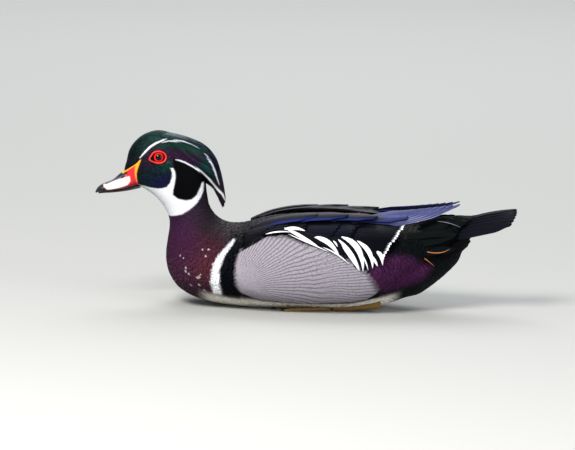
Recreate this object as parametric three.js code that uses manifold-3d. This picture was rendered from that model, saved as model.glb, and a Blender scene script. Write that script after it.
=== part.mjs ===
// A wood duck drake at life size, afloat in its pose but resting on its belly, feet tucked under.
// Millimetres, +Z up, bill towards -X, its left side towards -Y, z = 0 at the flat under the belly.
import * as THREE from "three";
import { mergeVertices } from "three/addons/utils/BufferGeometryUtils.js";
import Module from "manifold-3d";

const wasm = await Module();
wasm.setup();

const SIDES = { left: -1, right: 1 };
const GAP = 0.32; // between touching pieces
const HEAD_TURN = 9; // degrees that the bill turns towards the left side
const TURN_AXIS = new THREE.Vector2(-128, 0); // x and y of the upright line that the head turns about
const VANE_EDGE = 0.3; // half thickness of a feather at its edge
const VANE_SHAFT = 0.65; // half thickness of a feather along its raised shaft
const VANE_SHAPE = [0.6, 0.95, 1, 0.62]; // width of a feather from root to tip, as a share of its full width
const CENTRE_X = 2.05; // moves the middle of the whole length to x = 0

// The body from the bill's base to the tail, as sections drawn from a point on the back to one on the throat
// or belly: back x and z, front x and z, half width, level of that width (-1 belly, 1 back), squareness, and
// the share that the section takes of the head's turn
const BODY = [
  [-188.0, 131.5, -173.5, 118.0, 7.4, -0.15, 2.0, 1],
  [-185.2, 141.0, -167.5, 114.5, 11.3, -0.15, 2.0, 1],
  [-182.6, 152.5, -161.5, 110.8, 14.4, -0.12, 2.1, 1],
  [-176.5, 162.0, -155.5, 106.6, 16.6, -0.12, 2.1, 1],
  [-166.5, 169.6, -150.5, 101.6, 18.0, -0.16, 2.1, 1],
  [-153.0, 173.0, -146.0, 95.8, 19.2, -0.18, 2.1, 1],
  [-138.5, 169.0, -142.2, 89.6, 19.6, -0.16, 2.1, 0.97],
  [-124.0, 159.0, -140.2, 84.0, 19.4, -0.1, 2.1, 0.9],
  [-112.5, 145.0, -139.6, 79.0, 18.8, 0.0, 2.1, 0.8],
  [-106.0, 128.5, -139.8, 74.0, 18.6, 0.0, 2.1, 0.64],
  [-103.6, 112.5, -140.6, 68.0, 19.8, 0.0, 2.1, 0.45],
  [-100.4, 98.5, -141.6, 60.0, 24.0, -0.02, 2.1, 0.25],
  [-93.5, 88.6, -142.4, 50.5, 31.5, -0.06, 2.1, 0.1],
  [-84.2, 82.6, -141.4, 39.5, 40.5, -0.1, 2.15, 0.02],
  [-74.0, 80.6, -137.0, 27.0, 48.5, -0.12, 2.2, 0],
  [-62.0, 81.6, -127.0, 15.0, 55.0, -0.12, 2.2, 0],
  [-48.0, 85.8, -108.0, 5.8, 60.0, -0.1, 2.2, 0],
  [-30.0, 90.0, -80.0, 0.6, 63.5, -0.08, 2.25, 0],
  [-6.0, 91.8, -46.0, -1.0, 65.5, -0.06, 2.3, 0],
  [24.0, 91.2, 0.0, -1.0, 65.5, -0.04, 2.3, 0],
  [54.0, 88.2, 42.0, -0.4, 62.0, 0.0, 2.25, 0],
  [82.0, 84.6, 78.0, 5.0, 54.0, 0.06, 2.2, 0],
  [105.0, 83.4, 106.0, 16.5, 42.5, 0.12, 2.1, 0],
  [124.0, 85.2, 128.0, 32.0, 31.0, 0.2, 2.0, 0],
  [140.0, 88.2, 146.0, 50.0, 21.0, 0.3, 2.0, 0],
  [153.0, 91.4, 158.0, 68.5, 12.5, 0.4, 2.0, 0],
];
// Where each piece of the body begins, in sections
const STATION = { head: 0, neck: 9.4, torso: 12.2, rump: 23.2, end: 25 };
const AROUND = 22; // points round a section of the body
const CREST_AROUND = 14;
const BILL_AROUND = 14;
const LOWER_BILL_AROUND = 12;

// The crest, from the crown to its tips, as the same sections with no turn of their own
const CREST = [
  [-156.0, 172.8, -150.0, 158.0, 11.0, 0.1, 2.0, 1],
  [-139.0, 170.0, -134.0, 147.0, 15.5, 0.0, 2.1, 1],
  [-121.0, 164.6, -119.0, 133.0, 16.6, -0.1, 2.1, 1],
  [-106.5, 157.6, -107.0, 121.0, 15.2, -0.1, 2.1, 1],
  [-96.4, 146.6, -98.6, 114.6, 12.4, -0.1, 2.1, 1],
  [-90.8, 132.6, -93.6, 108.6, 9.2, -0.1, 2.0, 1],
  [-87.2, 118.4, -89.4, 101.6, 6.0, 0.0, 2.0, 1],
  [-84.6, 104.0, -86.0, 95.6, 3.0, 0.0, 2.0, 1],
];

// The crest's feathers in tiers: how many, where roots and tips lie along the crest, the girth they cover
const CREST_RINGS = 2;
const CREST_CORE = 3.6; // where the solid inner part of the crest ends
const CREST_SINK = -1.2; // lift of the inner part below the feathers
const CREST_WIDTH = 10.6;
const CREST_STEPS = 2; // straight pieces along each crest feather
const CREST_TIERS = [
  { count: 3, root: 0.6, tip: 3.2, girth: 56 },
  { count: 4, root: 1.8, tip: 4.7, girth: 84 },
  { count: 4, root: 2.7, tip: 6.0, girth: 104 },
  { count: 4, root: 3.1, tip: 7.0, girth: 132 },
];
const CREST_LIFTS = [-2.2, -0.6, 0.2, 0.8];
const CREST_SHAPE = [0.75, 1, 0.75, 0.35]; // width of a crest feather from its root to its tip
const CREST_CLOSE = 0.8; // how far round the crest a feather's tip keeps, as a share of its root's girth

// The upper and the lower bill, from the base to the tip
const UPPER_BILL = [
  [-180.0, 138.0, -165.0, 122.0, 11.8, -0.3, 2.0, 1],
  [-188.2, 131.4, -173.8, 118.6, 8.8, -0.2, 2.0, 1],
  [-192.4, 128.0, -182.8, 115.6, 8.0, -0.3, 2.0, 1],
  [-197.8, 123.2, -192.0, 113.5, 7.3, -0.4, 2.1, 1],
  [-204.6, 120.2, -200.4, 112.3, 6.9, -0.4, 2.2, 1],
  [-209.8, 117.6, -207.6, 111.5, 6.0, -0.3, 2.3, 1],
  [-213.4, 114.6, -212.6, 110.2, 4.2, -0.2, 2.3, 1],
  [-215.6, 111.0, -215.2, 109.0, 1.6, 0.0, 2.0, 1],
];
const LOWER_BILL = [
  [-172.6, 118.6, -170.6, 115.0, 8.2, 0.2, 2.3, 1],
  [-182.6, 115.2, -182.0, 112.2, 7.4, 0.3, 2.3, 1],
  [-191.8, 113.1, -191.4, 110.7, 6.7, 0.4, 2.3, 1],
  [-200.4, 111.9, -200.2, 109.7, 6.2, 0.4, 2.3, 1],
  [-207.6, 111.1, -207.6, 109.2, 5.2, 0.4, 2.3, 1],
  [-212.2, 109.8, -212.4, 108.6, 3.2, 0.2, 2.2, 1],
];
// Side view of the bill's bare shield where it lies over the cheek: x and z
const SHIELD = [[-190.5, 129.5], [-186.8, 132.4], [-178.2, 139.6], [-172.4, 146.0], [-174.6, 138.0],
  [-176.4, 130.0], [-175.8, 124.0], [-173.6, 119.4], [-186.0, 112.0]];
const SHIELD_LIFT = 1.15;
const SHIELD_REACH = [-0.3, 5]; // the stretch of the head that the shield is taken from
const BILL_FROM = 0.6; // where the upper bill begins, inside the head
const NOSTRIL = { x: -189.6, z: 126.0, y: 4.9, long: 4.6, high: 1.5, deep: 1.9, slope: 38 };

// The eye in the same side view, how deep its middle is sunk, and the lid's ring, drawn out at its front
const EYE = { x: -155.4, z: 147.8, radius: 6.2, sunk: 3.9 };
const LID = { long: 7.3, high: 5.8, tube: 1.05, proud: 0.5, corner: 0.28, cornerAngle: 0.35, cornerSharp: 12,
  points: 20, sides: 5 };

const NEAR_RING = 0.03; // rings closer than this to an end of a stretch are left out
const RINGS = 1.5; // rings of the mesh for each section of the body
const SEAM = 0.06; // the part of a section left open between two stretches of the body
const EDGE_DEPTH = -0.9; // lift of a patch's outer face at its outline, below the body's surface
const PATCH_DEPTH = -2.6; // lift of a patch's inner face, well inside the body
const PATCH_ACROSS = [0, 0.08, 0.24, 0.5, 0.76, 0.92, 1]; // lines of a patch from its upper to its lower edge
const PATCH_SOFT = 0.16; // share of a patch's length or height over which its face rises

// Patches of feathers over the body: upper and lower edges as [x, z] in a side view, lift, lines along x
const FLANK = { lift: 6.6, lines: 12,
  top: [[-77, 44], [-72, 54], [-64, 62], [-54, 70], [-40, 78], [-18, 80.5], [6, 76], [32, 73], [50, 68],
    [64, 62], [76, 52], [85, 42]],
  foot: [[-77, 34], [-66, 20], [-45, 13], [0, 10], [45, 12], [70, 20], [85, 34]] };
const WING = { lift: 3.2, lines: 8,
  top: [[-74, 72], [-64, 77.5], [-50, 82.5], [-20, 88], [20, 89], [50, 87], [84, 82.5]],
  foot: [[-74, 60], [-60, 60], [-40, 66], [-18, 69], [6, 64], [32, 60], [50, 56], [66, 50], [84, 44]] };
const RUMP = { lift: 3.4, ends: [84, 150], foot: [[84, 60], [110, 62], [150, 78]], lines: 6, across: 8 };
const UNDERTAIL = { lift: 3.8, ends: [98, 154], foot: [[98, 52], [120, 57], [154, 76]], lines: 6, across: 8 };

// Feathers of one wing: how many, width, roll, how blunt, and the first and last root, middle and tip, each
// as x, girth and lift
const SECONDARIES = { count: 5, width: 13, roll: 8, blunt: 0.7,
  root: [[22, 30, 1.2], [6, 66, 1.2]], middle: [[60, 30, 7], [42, 68, 4.8]],
  tip: [[93, 31, 11.5], [72.5, 70, 7]] };
const TERTIALS = { count: 4, width: 18, roll: 0, blunt: 1.2,
  root: [[26, 22, 2], [-60, 31, 1]], middle: [[62, 20, 9], [-24, 27, 5.6]],
  tip: [[96, 27, 16.5], [10, 23, 7.6]] };
const COVERTS = { count: 4, width: 14, roll: 8, blunt: 1.2,
  root: [[-20, 33, 1.2], [-28, 58, 1.2]], middle: [[10, 34, 4.6], [-4, 59, 4.4]],
  tip: [[36, 34, 6.4], [24, 61, 6]] };
const SCAPULARS = { count: 4, width: 14, roll: 8, blunt: 1.2,
  root: [[-62, 37, 1], [-64, 58, 1]], middle: [[-42, 33, 4.6], [-42, 53, 4.4]],
  tip: [[-16, 32, 6.6], [-18, 50, 6]] };
// The primaries, as x, y and z, since they stand clear of the body
const PRIMARIES = { count: 5, width: 13, roll: 7, blunt: 0.6, arch: 0, longest: 0,
  root: [[34, 37, 86], [48, 30, 89]], middle: [[96, 28.5, 92.5], [72, 22, 96]],
  tip: [[150, 10.5, 108.6], [108, 15, 102.5]] };
const FLAT = [0, 0.55, 0.84]; // the way that the long feathers face past the body, for the right wing

// The white and black plumes of the flank: x and z of the first and last root, bend and tip, in a side view
const PLUMES = { count: 7, width: 13, roll: 5, lifts: [4, 8.2, 8.8],
  root: [[-62, 60], [36, 50]], bend: [[-38, 72.5], [58, 55.5]], tip: [[-10, 74.5], [78, 48]] };

// Side plumes of the rump and the coverts over and under the tail: x, y, z of the first and last root, middle
// and tip; arch and longest say how far the middle of a fan stands up and reaches past its edges
const RUMP_PLUMES = { count: 3, width: 10, roll: 7, arch: 0, longest: 0,
  root: [[92, 34, 76], [102, 40, 62]], middle: [[118, 32, 80], [124, 36, 64]],
  tip: [[146, 24, 80], [148, 27, 66]] };
const TAIL_COVERTS = { count: 5, width: 10.5, roll: 6, arch: 4, longest: 8,
  root: [[110, -16, 80], [110, 16, 80]], middle: [[134, -16, 86], [134, 16, 86]],
  tip: [[158, -15, 91], [158, 15, 91]] };
const UNDER_COVERTS = { count: 6, width: 10.5, roll: -6, arch: -14, longest: -3,
  root: [[122, -26, 50], [122, 26, 50]], middle: [[140, -23, 59], [140, 23, 59]],
  tip: [[160, -20, 74], [160, 20, 74]] };

// The tail's feathers: x and z along the fan's middle one, and how the others differ at the fan's edge
const TAIL = { count: 10, width: 14, blunt: 1.25, roll: 6, shorter: 7, layer: 0.3,
  line: [[134, 82.5], [156, 91], [181, 100.4], [209, 103.6]],
  spread: [9, 17, 22, 24], fall: [9, 12, 12, 9] };

// The leg: x, y, z, radius from the heel in the belly's feathers to the ankle; the foot's toes: x, y, radius
const LEG = [[74, 33, 9, 4.4], [60, 33, 6, 3.2], [42, 32.5, 3.4, 2.6], [26, 32, 2.9, 2.8]];
const LEG_SIDES = 10;
const TOE_SIDES = 6;
const TOE_SUNK = 0.92; // height of a toe's middle as a share of its radius, which leaves a flat under it
const FOOT = {
  toes: [
    [[24, 32, 3.0], [6, 31.5, 2.2], [-14, 31, 1.9], [-34, 30.5, 1.2]],
    [[22, 33.5, 2.8], [6, 38, 2.1], [-10, 42, 1.8], [-25, 45.5, 1.1]],
    [[22, 30.5, 2.8], [6, 25.5, 2.1], [-9, 21.5, 1.8], [-21, 18.5, 1.1]],
    [[25, 32, 2.2], [31, 27, 1.5], [36, 24.5, 0.9]],
  ],
  web: [[16, 32], [2, 38.5], [-10, 41.8], [-20, 44], [-19, 36], [-30, 31], [-17, 26], [-17, 20], [-9, 22],
    [2, 26.5]],
  webThick: 0.9,
  webRise: 0.6,
};

// Where the search for a spot on the side begins, and its steps: place along the body, and girth in degrees
const HEAD_START = [4, 80];
const BODY_START = [18, 70];
const REAR_START = [22, 90];
const SEARCH_STEPS = 40;
const SEARCH_PLACE = 0.02;
const SEARCH_GIRTH = 0.5;

// The body's middle height along x, and its half width and height, which set how the wing's feathers face
const MIDDLE_Z = [[-60, 44], [40, 46], [90, 50], [160, 72]];
const BODY_WIDE = 66;
const BODY_HIGH = 48;

const FINISHES = {
  bronze: [0x3a3530, 0.6], black: [0x0c0d12, 0.45], tan: [0xb9a88c, 0.75], green: [0x0f2a26, 0.35],
  purple: [0x3a1428, 0.5], tail: [0x14141c, 0.45], red: [0xb81c20, 0.4], iris: [0xc01818, 0.1],
  leg: [0x9a7b2c, 0.6],
};

// Numbers between sections

// A smooth value between the entries of a list, at a place counted in entries
function smoothBetween(list, place) {
  const last = list.length - 1;
  const i = Math.min(Math.max(Math.floor(place), 0), last - 1);
  const t = place - i;
  const [a, b, c, d] = [list[Math.max(i - 1, 0)], list[i], list[i + 1], list[Math.min(i + 2, last)]];
  return b + 0.5 * t * (c - a + t * (2 * a - 5 * b + 4 * c - d + t * (3 * (b - c) + d - a)));
}

// Names the columns of a list of sections, so that each can be read at any place
function sectionsOf(rows) {
  const column = (k) => rows.map((row) => row[k]);
  const names = ["backX", "backZ", "frontX", "frontZ", "width", "level", "square", "turn"];
  return Object.fromEntries(names.map((name, k) => [name, column(k)]));
}

// The point of a sectioned form at a place along it and an angle from its back, before the head's turn
function sectionPoint(form, place, girth) {
  const at = (name) => smoothBetween(form[name], place);
  const back = new THREE.Vector3(at("backX"), 0, at("backZ"));
  const front = new THREE.Vector3(at("frontX"), 0, at("frontZ"));
  const angle = THREE.MathUtils.degToRad(girth);
  const power = 2 / at("square");
  const up = Math.sign(Math.cos(angle)) * Math.abs(Math.cos(angle)) ** power;
  const out = Math.sign(Math.sin(angle)) * Math.abs(Math.sin(angle)) ** power;
  const share = (1 + at("level") + up * (up > 0 ? 1 - at("level") : 1 + at("level"))) / 2;
  const point = front.lerp(back, share);
  point.y = out * at("width");
  return point;
}

function formPoint(form, place, girth) {
  const share = THREE.MathUtils.clamp(smoothBetween(form.turn, place), 0, 1);
  return turned(sectionPoint(form, place, girth), share);
}

// Turns a point of the head about the upright axis in the neck
function turned(point, share = 1) {
  const angle = THREE.MathUtils.degToRad(HEAD_TURN * share);
  const flat = new THREE.Vector2(point.x, point.y).rotateAround(TURN_AXIS, angle);
  return point.set(flat.x, flat.y, point.z);
}

// The outward direction of a sectioned form
function formNormal(form, place, girth) {
  const along = formPoint(form, place + 0.05, girth).sub(formPoint(form, place - 0.05, girth));
  const round = formPoint(form, place, girth + 2).sub(formPoint(form, place, girth - 2));
  return along.cross(round).normalize();
}

function lifted(form, place, girth, lift) {
  return formPoint(form, place, girth).addScaledVector(formNormal(form, place, girth), lift);
}

// Closed meshes

// A closed mesh from rings of points of equal count, with a fan over each end
function ringMesh(rings, alikeSplit = false) {
  const count = rings[0].length;
  const points = rings.flat();
  const faces = [];
  const corner = (i, j) => i * count + (j % count);
  for (let i = 0; i + 1 < rings.length; i++) {
    for (let j = 0; j < count; j++) {
      const [a, b, c, d] = [corner(i, j), corner(i, j + 1), corner(i + 1, j + 1), corner(i + 1, j)];
      if (alikeSplit && j >= count / 2) faces.push(a, b, d, b, c, d);
      else faces.push(a, b, c, a, c, d);
    }
  }
  const middle = (ring) => ring.reduce((sum, p) => sum.add(p), new THREE.Vector3()).divideScalar(count);
  points.push(middle(rings[0]), middle(rings.at(-1)));
  for (let j = 0; j < count; j++) {
    faces.push(points.length - 2, corner(0, j + 1), corner(0, j));
    faces.push(points.length - 1, corner(rings.length - 1, j), corner(rings.length - 1, j + 1));
  }
  return new THREE.BufferGeometry().setFromPoints(points).setIndex(faces);
}

// A closed ring of tube from rings of points
function hoopMesh(rings) {
  const count = rings[0].length;
  const corner = (i, j) => (i % rings.length) * count + (j % count);
  const faces = [];
  for (let i = 0; i < rings.length; i++) {
    for (let j = 0; j < count; j++) {
      const [a, b, c, d] = [corner(i, j), corner(i, j + 1), corner(i + 1, j + 1), corner(i + 1, j)];
      faces.push(a, b, c, a, c, d);
    }
  }
  return new THREE.BufferGeometry().setFromPoints(rings.flat()).setIndex(faces);
}

// A closed three.js geometry as a solid that can be joined and cut
function solidOf(geometry) {
  const bare = geometry.clone();
  bare.deleteAttribute("normal");
  bare.deleteAttribute("uv");
  const merged = mergeVertices(bare, 1e-4);
  const mesh = new wasm.Mesh({
    numProp: 3,
    vertProperties: new Float32Array(merged.attributes.position.array),
    triVerts: new Uint32Array(merged.index.array),
  });
  const solid = new wasm.Manifold(mesh);
  if (solid.volume() >= 0) return solid;
  mesh.triVerts.reverse();
  return new wasm.Manifold(mesh);
}

// The largest closed surface of a solid, which drops scraps and sealed hollows
function largest(solid) {
  return solid.decompose().sort((a, b) => b.volume() - a.volume())[0];
}

function fused(solids) {
  return solids.reduce((sum, solid) => sum.add(solid));
}

function geometryOf(solid) {
  const mesh = largest(solid).getMesh();
  return new THREE.BufferGeometry()
    .setAttribute("position", new THREE.BufferAttribute(new Float32Array(mesh.vertProperties), 3))
    .setIndex(new THREE.BufferAttribute(new Uint32Array(mesh.triVerts), 1));
}

// A stretch of a sectioned form, lifted outward, with rings at its ends and at even places between
function stretch(form, from, to, ringsEach, lift = 0, around = AROUND) {
  const places = [from];
  for (let k = Math.floor(from * ringsEach) + 1; k / ringsEach < to - NEAR_RING; k++) {
    if (k / ringsEach > from + NEAR_RING) places.push(k / ringsEach);
  }
  places.push(to);
  const turns = Array.from({ length: around }, (_, j) => (360 * j) / around);
  const ringAt = (place) => turns.map((girth) => lifted(form, place, girth, lift));
  return solidOf(ringMesh(places.map(ringAt)));
}

// One feather: a thin vane through its spots, each a point with a normal, in order from the root.
// width: its full width; tip: how blunt its end is, 0 to 1; shaft: whether the shaft is raised along it;
// roll: degrees that tuck one edge of it under its neighbour; shape: its width from root to tip
function vane(spots, width, { tip = 0.6, shaft = false, extra = 0, roll = 0, shape = VANE_SHAPE } = {}) {
  const last = spots.length - 1;
  const rings = spots.map(({ point, normal }, i) => {
    const ahead = spots[Math.min(i + 1, last)].point.clone().sub(spots[Math.max(i - 1, 0)].point);
    const across = new THREE.Vector3().crossVectors(normal, ahead).normalize();
    across.applyAxisAngle(ahead.clone().normalize(), THREE.MathUtils.degToRad(roll));
    const up = new THREE.Vector3().crossVectors(ahead, across).normalize();
    const swell = smoothBetween(shape, (i / last) * (shape.length - 1));
    const half = (width / 2) * (i === last ? shape.at(-1) * tip : swell) + extra;
    const put = (w, h) => point.clone().addScaledVector(across, w * half)
      .addScaledVector(up, Math.sign(h) * (Math.abs(h) + extra));
    if (!shaft) return [put(-1, VANE_EDGE), put(1, VANE_EDGE), put(1, -VANE_EDGE), put(-1, -VANE_EDGE)];
    return [put(-1, VANE_EDGE), put(0, VANE_SHAFT), put(1, VANE_EDGE), put(1, -VANE_EDGE),
      put(0, -VANE_SHAFT), put(-1, -VANE_EDGE)];
  });
  return solidOf(ringMesh(rings, true));
}

// Spots in even steps on a smooth line through a few given ones
function smoothSpots(given, steps) {
  const read = (of, k, place) => smoothBetween(given.map((spot) => spot[of][k]), place);
  const vector = (of, place) => new THREE.Vector3(...["x", "y", "z"].map((k) => read(of, k, place)));
  return Array.from({ length: steps + 1 }, (_, i) => {
    const place = ((given.length - 1) * i) / steps;
    return { point: vector("point", place), normal: vector("normal", place).normalize() };
  });
}

// The value between the first and the last of a pair of points, for one feather of a group
function between([first, last], share) {
  return first.map((value, k) => THREE.MathUtils.lerp(value, last[k], share));
}

// The body as a whole

const body = sectionsOf(BODY);
const crestForm = sectionsOf(CREST);
const upperBill = sectionsOf(UPPER_BILL);
const lowerBill = sectionsOf(LOWER_BILL);

// A stretch of the body, lifted, which also cuts the pieces that lie on it
function bodyStretch(from, to, lift = 0) {
  return stretch(body, from, to, RINGS, lift);
}

// The value that a list of [x, value] pairs gives at x
function valueAt(pairs, x) {
  const next = pairs.findIndex((pair) => pair[0] > x);
  if (next === 0) return pairs[0][1];
  if (next < 0) return pairs.at(-1)[1];
  const [a, b] = [pairs[next - 1], pairs[next]];
  return THREE.MathUtils.mapLinear(x, a[0], b[0], a[1], b[1]);
}

// A closed patch between two sheets of equal grids of points, outer and inner
function sheetsMesh(outer, inner, wide) {
  const sheet = outer.length;
  const rows = sheet / wide - 1;
  const faces = [];
  const quad = (a, b, c, d) => faces.push(a, b, c, a, c, d);
  for (let i = 0; i < rows; i++) {
    for (let j = 0; j + 1 < wide; j++) {
      const a = i * wide + j;
      quad(a, a + 1, a + wide + 1, a + wide);
      quad(sheet + a + wide, sheet + a + wide + 1, sheet + a + 1, sheet + a);
    }
  }
  const rim = [];
  for (let j = 0; j + 1 < wide; j++) rim.push(j);
  for (let i = 0; i < rows; i++) rim.push(i * wide + wide - 1);
  for (let j = wide - 1; j > 0; j--) rim.push(rows * wide + j);
  for (let i = rows; i > 0; i--) rim.push(i * wide);
  rim.forEach((a, k) => {
    const b = rim[(k + 1) % rim.length];
    quad(b, a, sheet + a, sheet + b);
  });
  return new THREE.BufferGeometry().setFromPoints([...outer, ...inner]).setIndex(faces);
}

// How far a patch's face has risen at a share of its length or height, from 0 at its edges to 1 within
function risen(share) {
  return Math.sin((Math.PI / 2) * Math.min(1, Math.min(share, 1 - share) / PATCH_SOFT));
}

// A patch of feathers on one side, between its upper and its lower edge
function sidePatch({ lift, lines, top, foot }, side, extra = 0) {
  const [outer, inner] = [[], []];
  const [start, end] = [top[0][0], top.at(-1)[0]];
  for (let i = 0; i <= lines; i++) {
    const along = (1 - Math.cos((Math.PI * i) / lines)) / 2;
    const x = THREE.MathUtils.lerp(start, end, along);
    for (const across of PATCH_ACROSS) {
      const z = THREE.MathUtils.lerp(valueAt(top, x), valueAt(foot, x), across);
      const { place, girth } = sideSpot(x, z, BODY_START);
      const rise = EDGE_DEPTH + (lift - EDGE_DEPTH) * Math.min(risen(along), risen(across));
      outer.push(lifted(body, place, girth * side, rise + extra));
      inner.push(lifted(body, place, girth * side, PATCH_DEPTH));
    }
  }
  return solidOf(sheetsMesh(outer, inner, PATCH_ACROSS.length));
}

// A patch of feathers across the whole back (turn 0) or belly (turn 180), down or up to an edge on each side
function crossPatch({ lift, ends, foot, lines, across }, turn, extra = 0) {
  const [outer, inner] = [[], []];
  for (let i = 0; i <= lines; i++) {
    const along = i / lines;
    const x = THREE.MathUtils.lerp(...ends, along);
    const limit = Math.abs(turn - sideSpot(x, valueAt(foot, x), REAR_START).girth);
    for (let j = 0; j <= across; j++) {
      const share = j / across;
      const girth = turn + limit * (2 * share - 1);
      const place = placeAt(x, girth);
      const rise = EDGE_DEPTH + (lift - EDGE_DEPTH) * Math.min(risen(along), risen(share));
      outer.push(lifted(body, place, girth, rise + extra));
      inner.push(lifted(body, place, girth, PATCH_DEPTH));
    }
  }
  return solidOf(sheetsMesh(outer, inner, across + 1));
}

// The place along the body where its surface at this girth has this x
function placeAt(x, girth) {
  let [low, high] = [STATION.torso - 2, STATION.end + 1];
  for (let i = 0; i < SEARCH_STEPS / 2; i++) {
    const middle = (low + high) / 2;
    if (formPoint(body, middle, girth).x < x) low = middle;
    else high = middle;
  }
  return (low + high) / 2;
}

// The outward direction of the body near a point of its side or back
function bodyNormal(point) {
  const low = valueAt(MIDDLE_Z, point.x);
  return new THREE.Vector3(0, point.y / BODY_WIDE, (point.z - low) / BODY_HIGH).normalize();
}

// A group of feathers on one side, each through its root, middle and tip
function feathers(group, side, extra, steps = 3, faceOf = bodyNormal) {
  return Array.from({ length: group.count }, (_, i) => {
    const share = i / (group.count - 1);
    const middle = 1 - (2 * share - 1) ** 2;
    const spots = [group.root, group.middle, group.tip].map((pair, k) => {
      const [x, y, z] = between(pair, share);
      const reach = k === 2 ? group.longest * middle : 0;
      const point = new THREE.Vector3(x + reach, side * y, z + group.arch * middle);
      return { point, normal: faceOf(point) };
    });
    const roll = group.roll * side * (group.arch ? Math.sign(0.5 - share) : 1);
    return vane(smoothSpots(spots, steps), group.width, { tip: group.blunt, extra, roll });
  });
}

function longFace(point) {
  return new THREE.Vector3(0, Math.sign(point.y) * FLAT[1], FLAT[2]);
}

// Feathers that lie on the body, each through its root, middle and tip, given as x, girth and lift
function lyingFeathers(group, side, extra, steps) {
  return Array.from({ length: group.count }, (_, i) => {
    const spots = [group.root, group.middle, group.tip].map((pair) => {
      const [x, girth, lift] = between(pair, i / (group.count - 1));
      const turn = girth * side;
      const place = placeAt(x, turn);
      return { point: lifted(body, place, turn, lift), normal: formNormal(body, place, turn) };
    });
    return vane(smoothSpots(spots, steps), group.width, { tip: group.blunt, extra, roll: group.roll * side });
  });
}

// The feathers of the folded wing
function wingFeathers(side, extra) {
  return [
    ...feathers(PRIMARIES, side, extra, 2, longFace),
    ...lyingFeathers(SECONDARIES, side, extra, 2),
    ...lyingFeathers(TERTIALS, side, extra, 3),
    ...lyingFeathers(COVERTS, side, extra, 2),
    ...lyingFeathers(SCAPULARS, side, extra, 2),
  ];
}

function flankPlumes(side, extra) {
  return Array.from({ length: PLUMES.count }, (_, i) => {
    const share = i / (PLUMES.count - 1);
    const spots = [PLUMES.root, PLUMES.bend, PLUMES.tip].map((pair, k) => {
      const [x, z] = between(pair, share);
      return bodySpot(x, z, side, PLUMES.lifts[k]);
    });
    return vane(smoothSpots(spots, 3), PLUMES.width, { extra, roll: PLUMES.roll * side });
  });
}

// One feather of the tail: u runs from -1 at the fan's left edge to 1 at its right edge
function tailFeather(u, extra) {
  const spots = TAIL.line.map(([x, z], k) => {
    const share = k / (TAIL.line.length - 1);
    const y = u * TAIL.spread[k];
    const fall = TAIL.fall[k];
    const point = new THREE.Vector3(x - TAIL.shorter * u * u * share ** 2, y,
      z - fall * u * u - TAIL.layer * Math.abs(u) * TAIL.count * 0.5 * share);
    return { point, normal: new THREE.Vector3(0, (2 * fall * u) / TAIL.spread[k], 1).normalize() };
  });
  const roll = -TAIL.roll * Math.sign(u);
  return vane(smoothSpots(spots, 3), TAIL.width, { tip: TAIL.blunt, shaft: true, extra, roll });
}

function tailFeathers(extra) {
  return Array.from({ length: TAIL.count }, (_, i) => tailFeather((2 * i) / (TAIL.count - 1) - 1, extra));
}

// The spot on the body's side that a side view shows at x and z, lifted
function bodySpot(x, z, side, lift) {
  const found = sideSpot(x, z, BODY_START);
  return {
    point: lifted(body, found.place, found.girth * side, lift),
    normal: formNormal(body, found.place, found.girth * side),
  };
}

// The crest's feathers, tier over tier, along the crest's own form
function crestFeathers(extra) {
  return CREST_TIERS.flatMap(({ count, root, tip, girth }) => Array.from({ length: count }, (_, i) => {
    const around = girth * ((2 * i) / (count - 1) - 1);
    const spots = CREST_LIFTS.map((lift, k) => {
      const place = THREE.MathUtils.lerp(root, tip, k / (CREST_LIFTS.length - 1));
      const narrow = THREE.MathUtils.mapLinear(k, 0, CREST_LIFTS.length - 1, 1, CREST_CLOSE);
      return {
        point: lifted(crestForm, place, around * narrow, lift),
        normal: formNormal(crestForm, place, around * narrow),
      };
    });
    return vane(smoothSpots(spots, CREST_STEPS), CREST_WIDTH, { tip: 0.5, extra, shape: CREST_SHAPE });
  }));
}

// The place and girth of the body's side that a side view shows at x and z, before the head's turn
function sideSpot(x, z, [placeGuess, girthGuess]) {
  let place = placeGuess;
  let girth = girthGuess;
  for (let i = 0; i < SEARCH_STEPS; i++) {
    const here = sectionPoint(body, place, girth);
    const byPlace = sectionPoint(body, place + SEARCH_PLACE, girth).sub(here).divideScalar(SEARCH_PLACE);
    const byGirth = sectionPoint(body, place, girth + SEARCH_GIRTH).sub(here).divideScalar(SEARCH_GIRTH);
    const [dx, dz] = [x - here.x, z - here.z];
    const det = byPlace.x * byGirth.z - byGirth.x * byPlace.z;
    place += THREE.MathUtils.clamp((dx * byGirth.z - byGirth.x * dz) / det, -0.5, 0.5);
    girth += THREE.MathUtils.clamp((byPlace.x * dz - dx * byPlace.z) / det, -15, 15);
    girth = THREE.MathUtils.clamp(girth, 5, 175);
  }
  return { place, girth };
}

// The spot on the head's side that a side view shows at x and z before the head's turn
function headSpot(x, z, side) {
  const { place, girth } = sideSpot(x, z, HEAD_START);
  return { point: formPoint(body, place, girth * side), normal: formNormal(body, place, girth * side) };
}

function eyeBall(side, extra) {
  const { point, normal } = headSpot(EYE.x, EYE.z, side);
  const ball = new THREE.SphereGeometry(EYE.radius + extra, 11, 8);
  ball.translate(...point.addScaledVector(normal, -EYE.sunk));
  return solidOf(ball);
}

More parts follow.
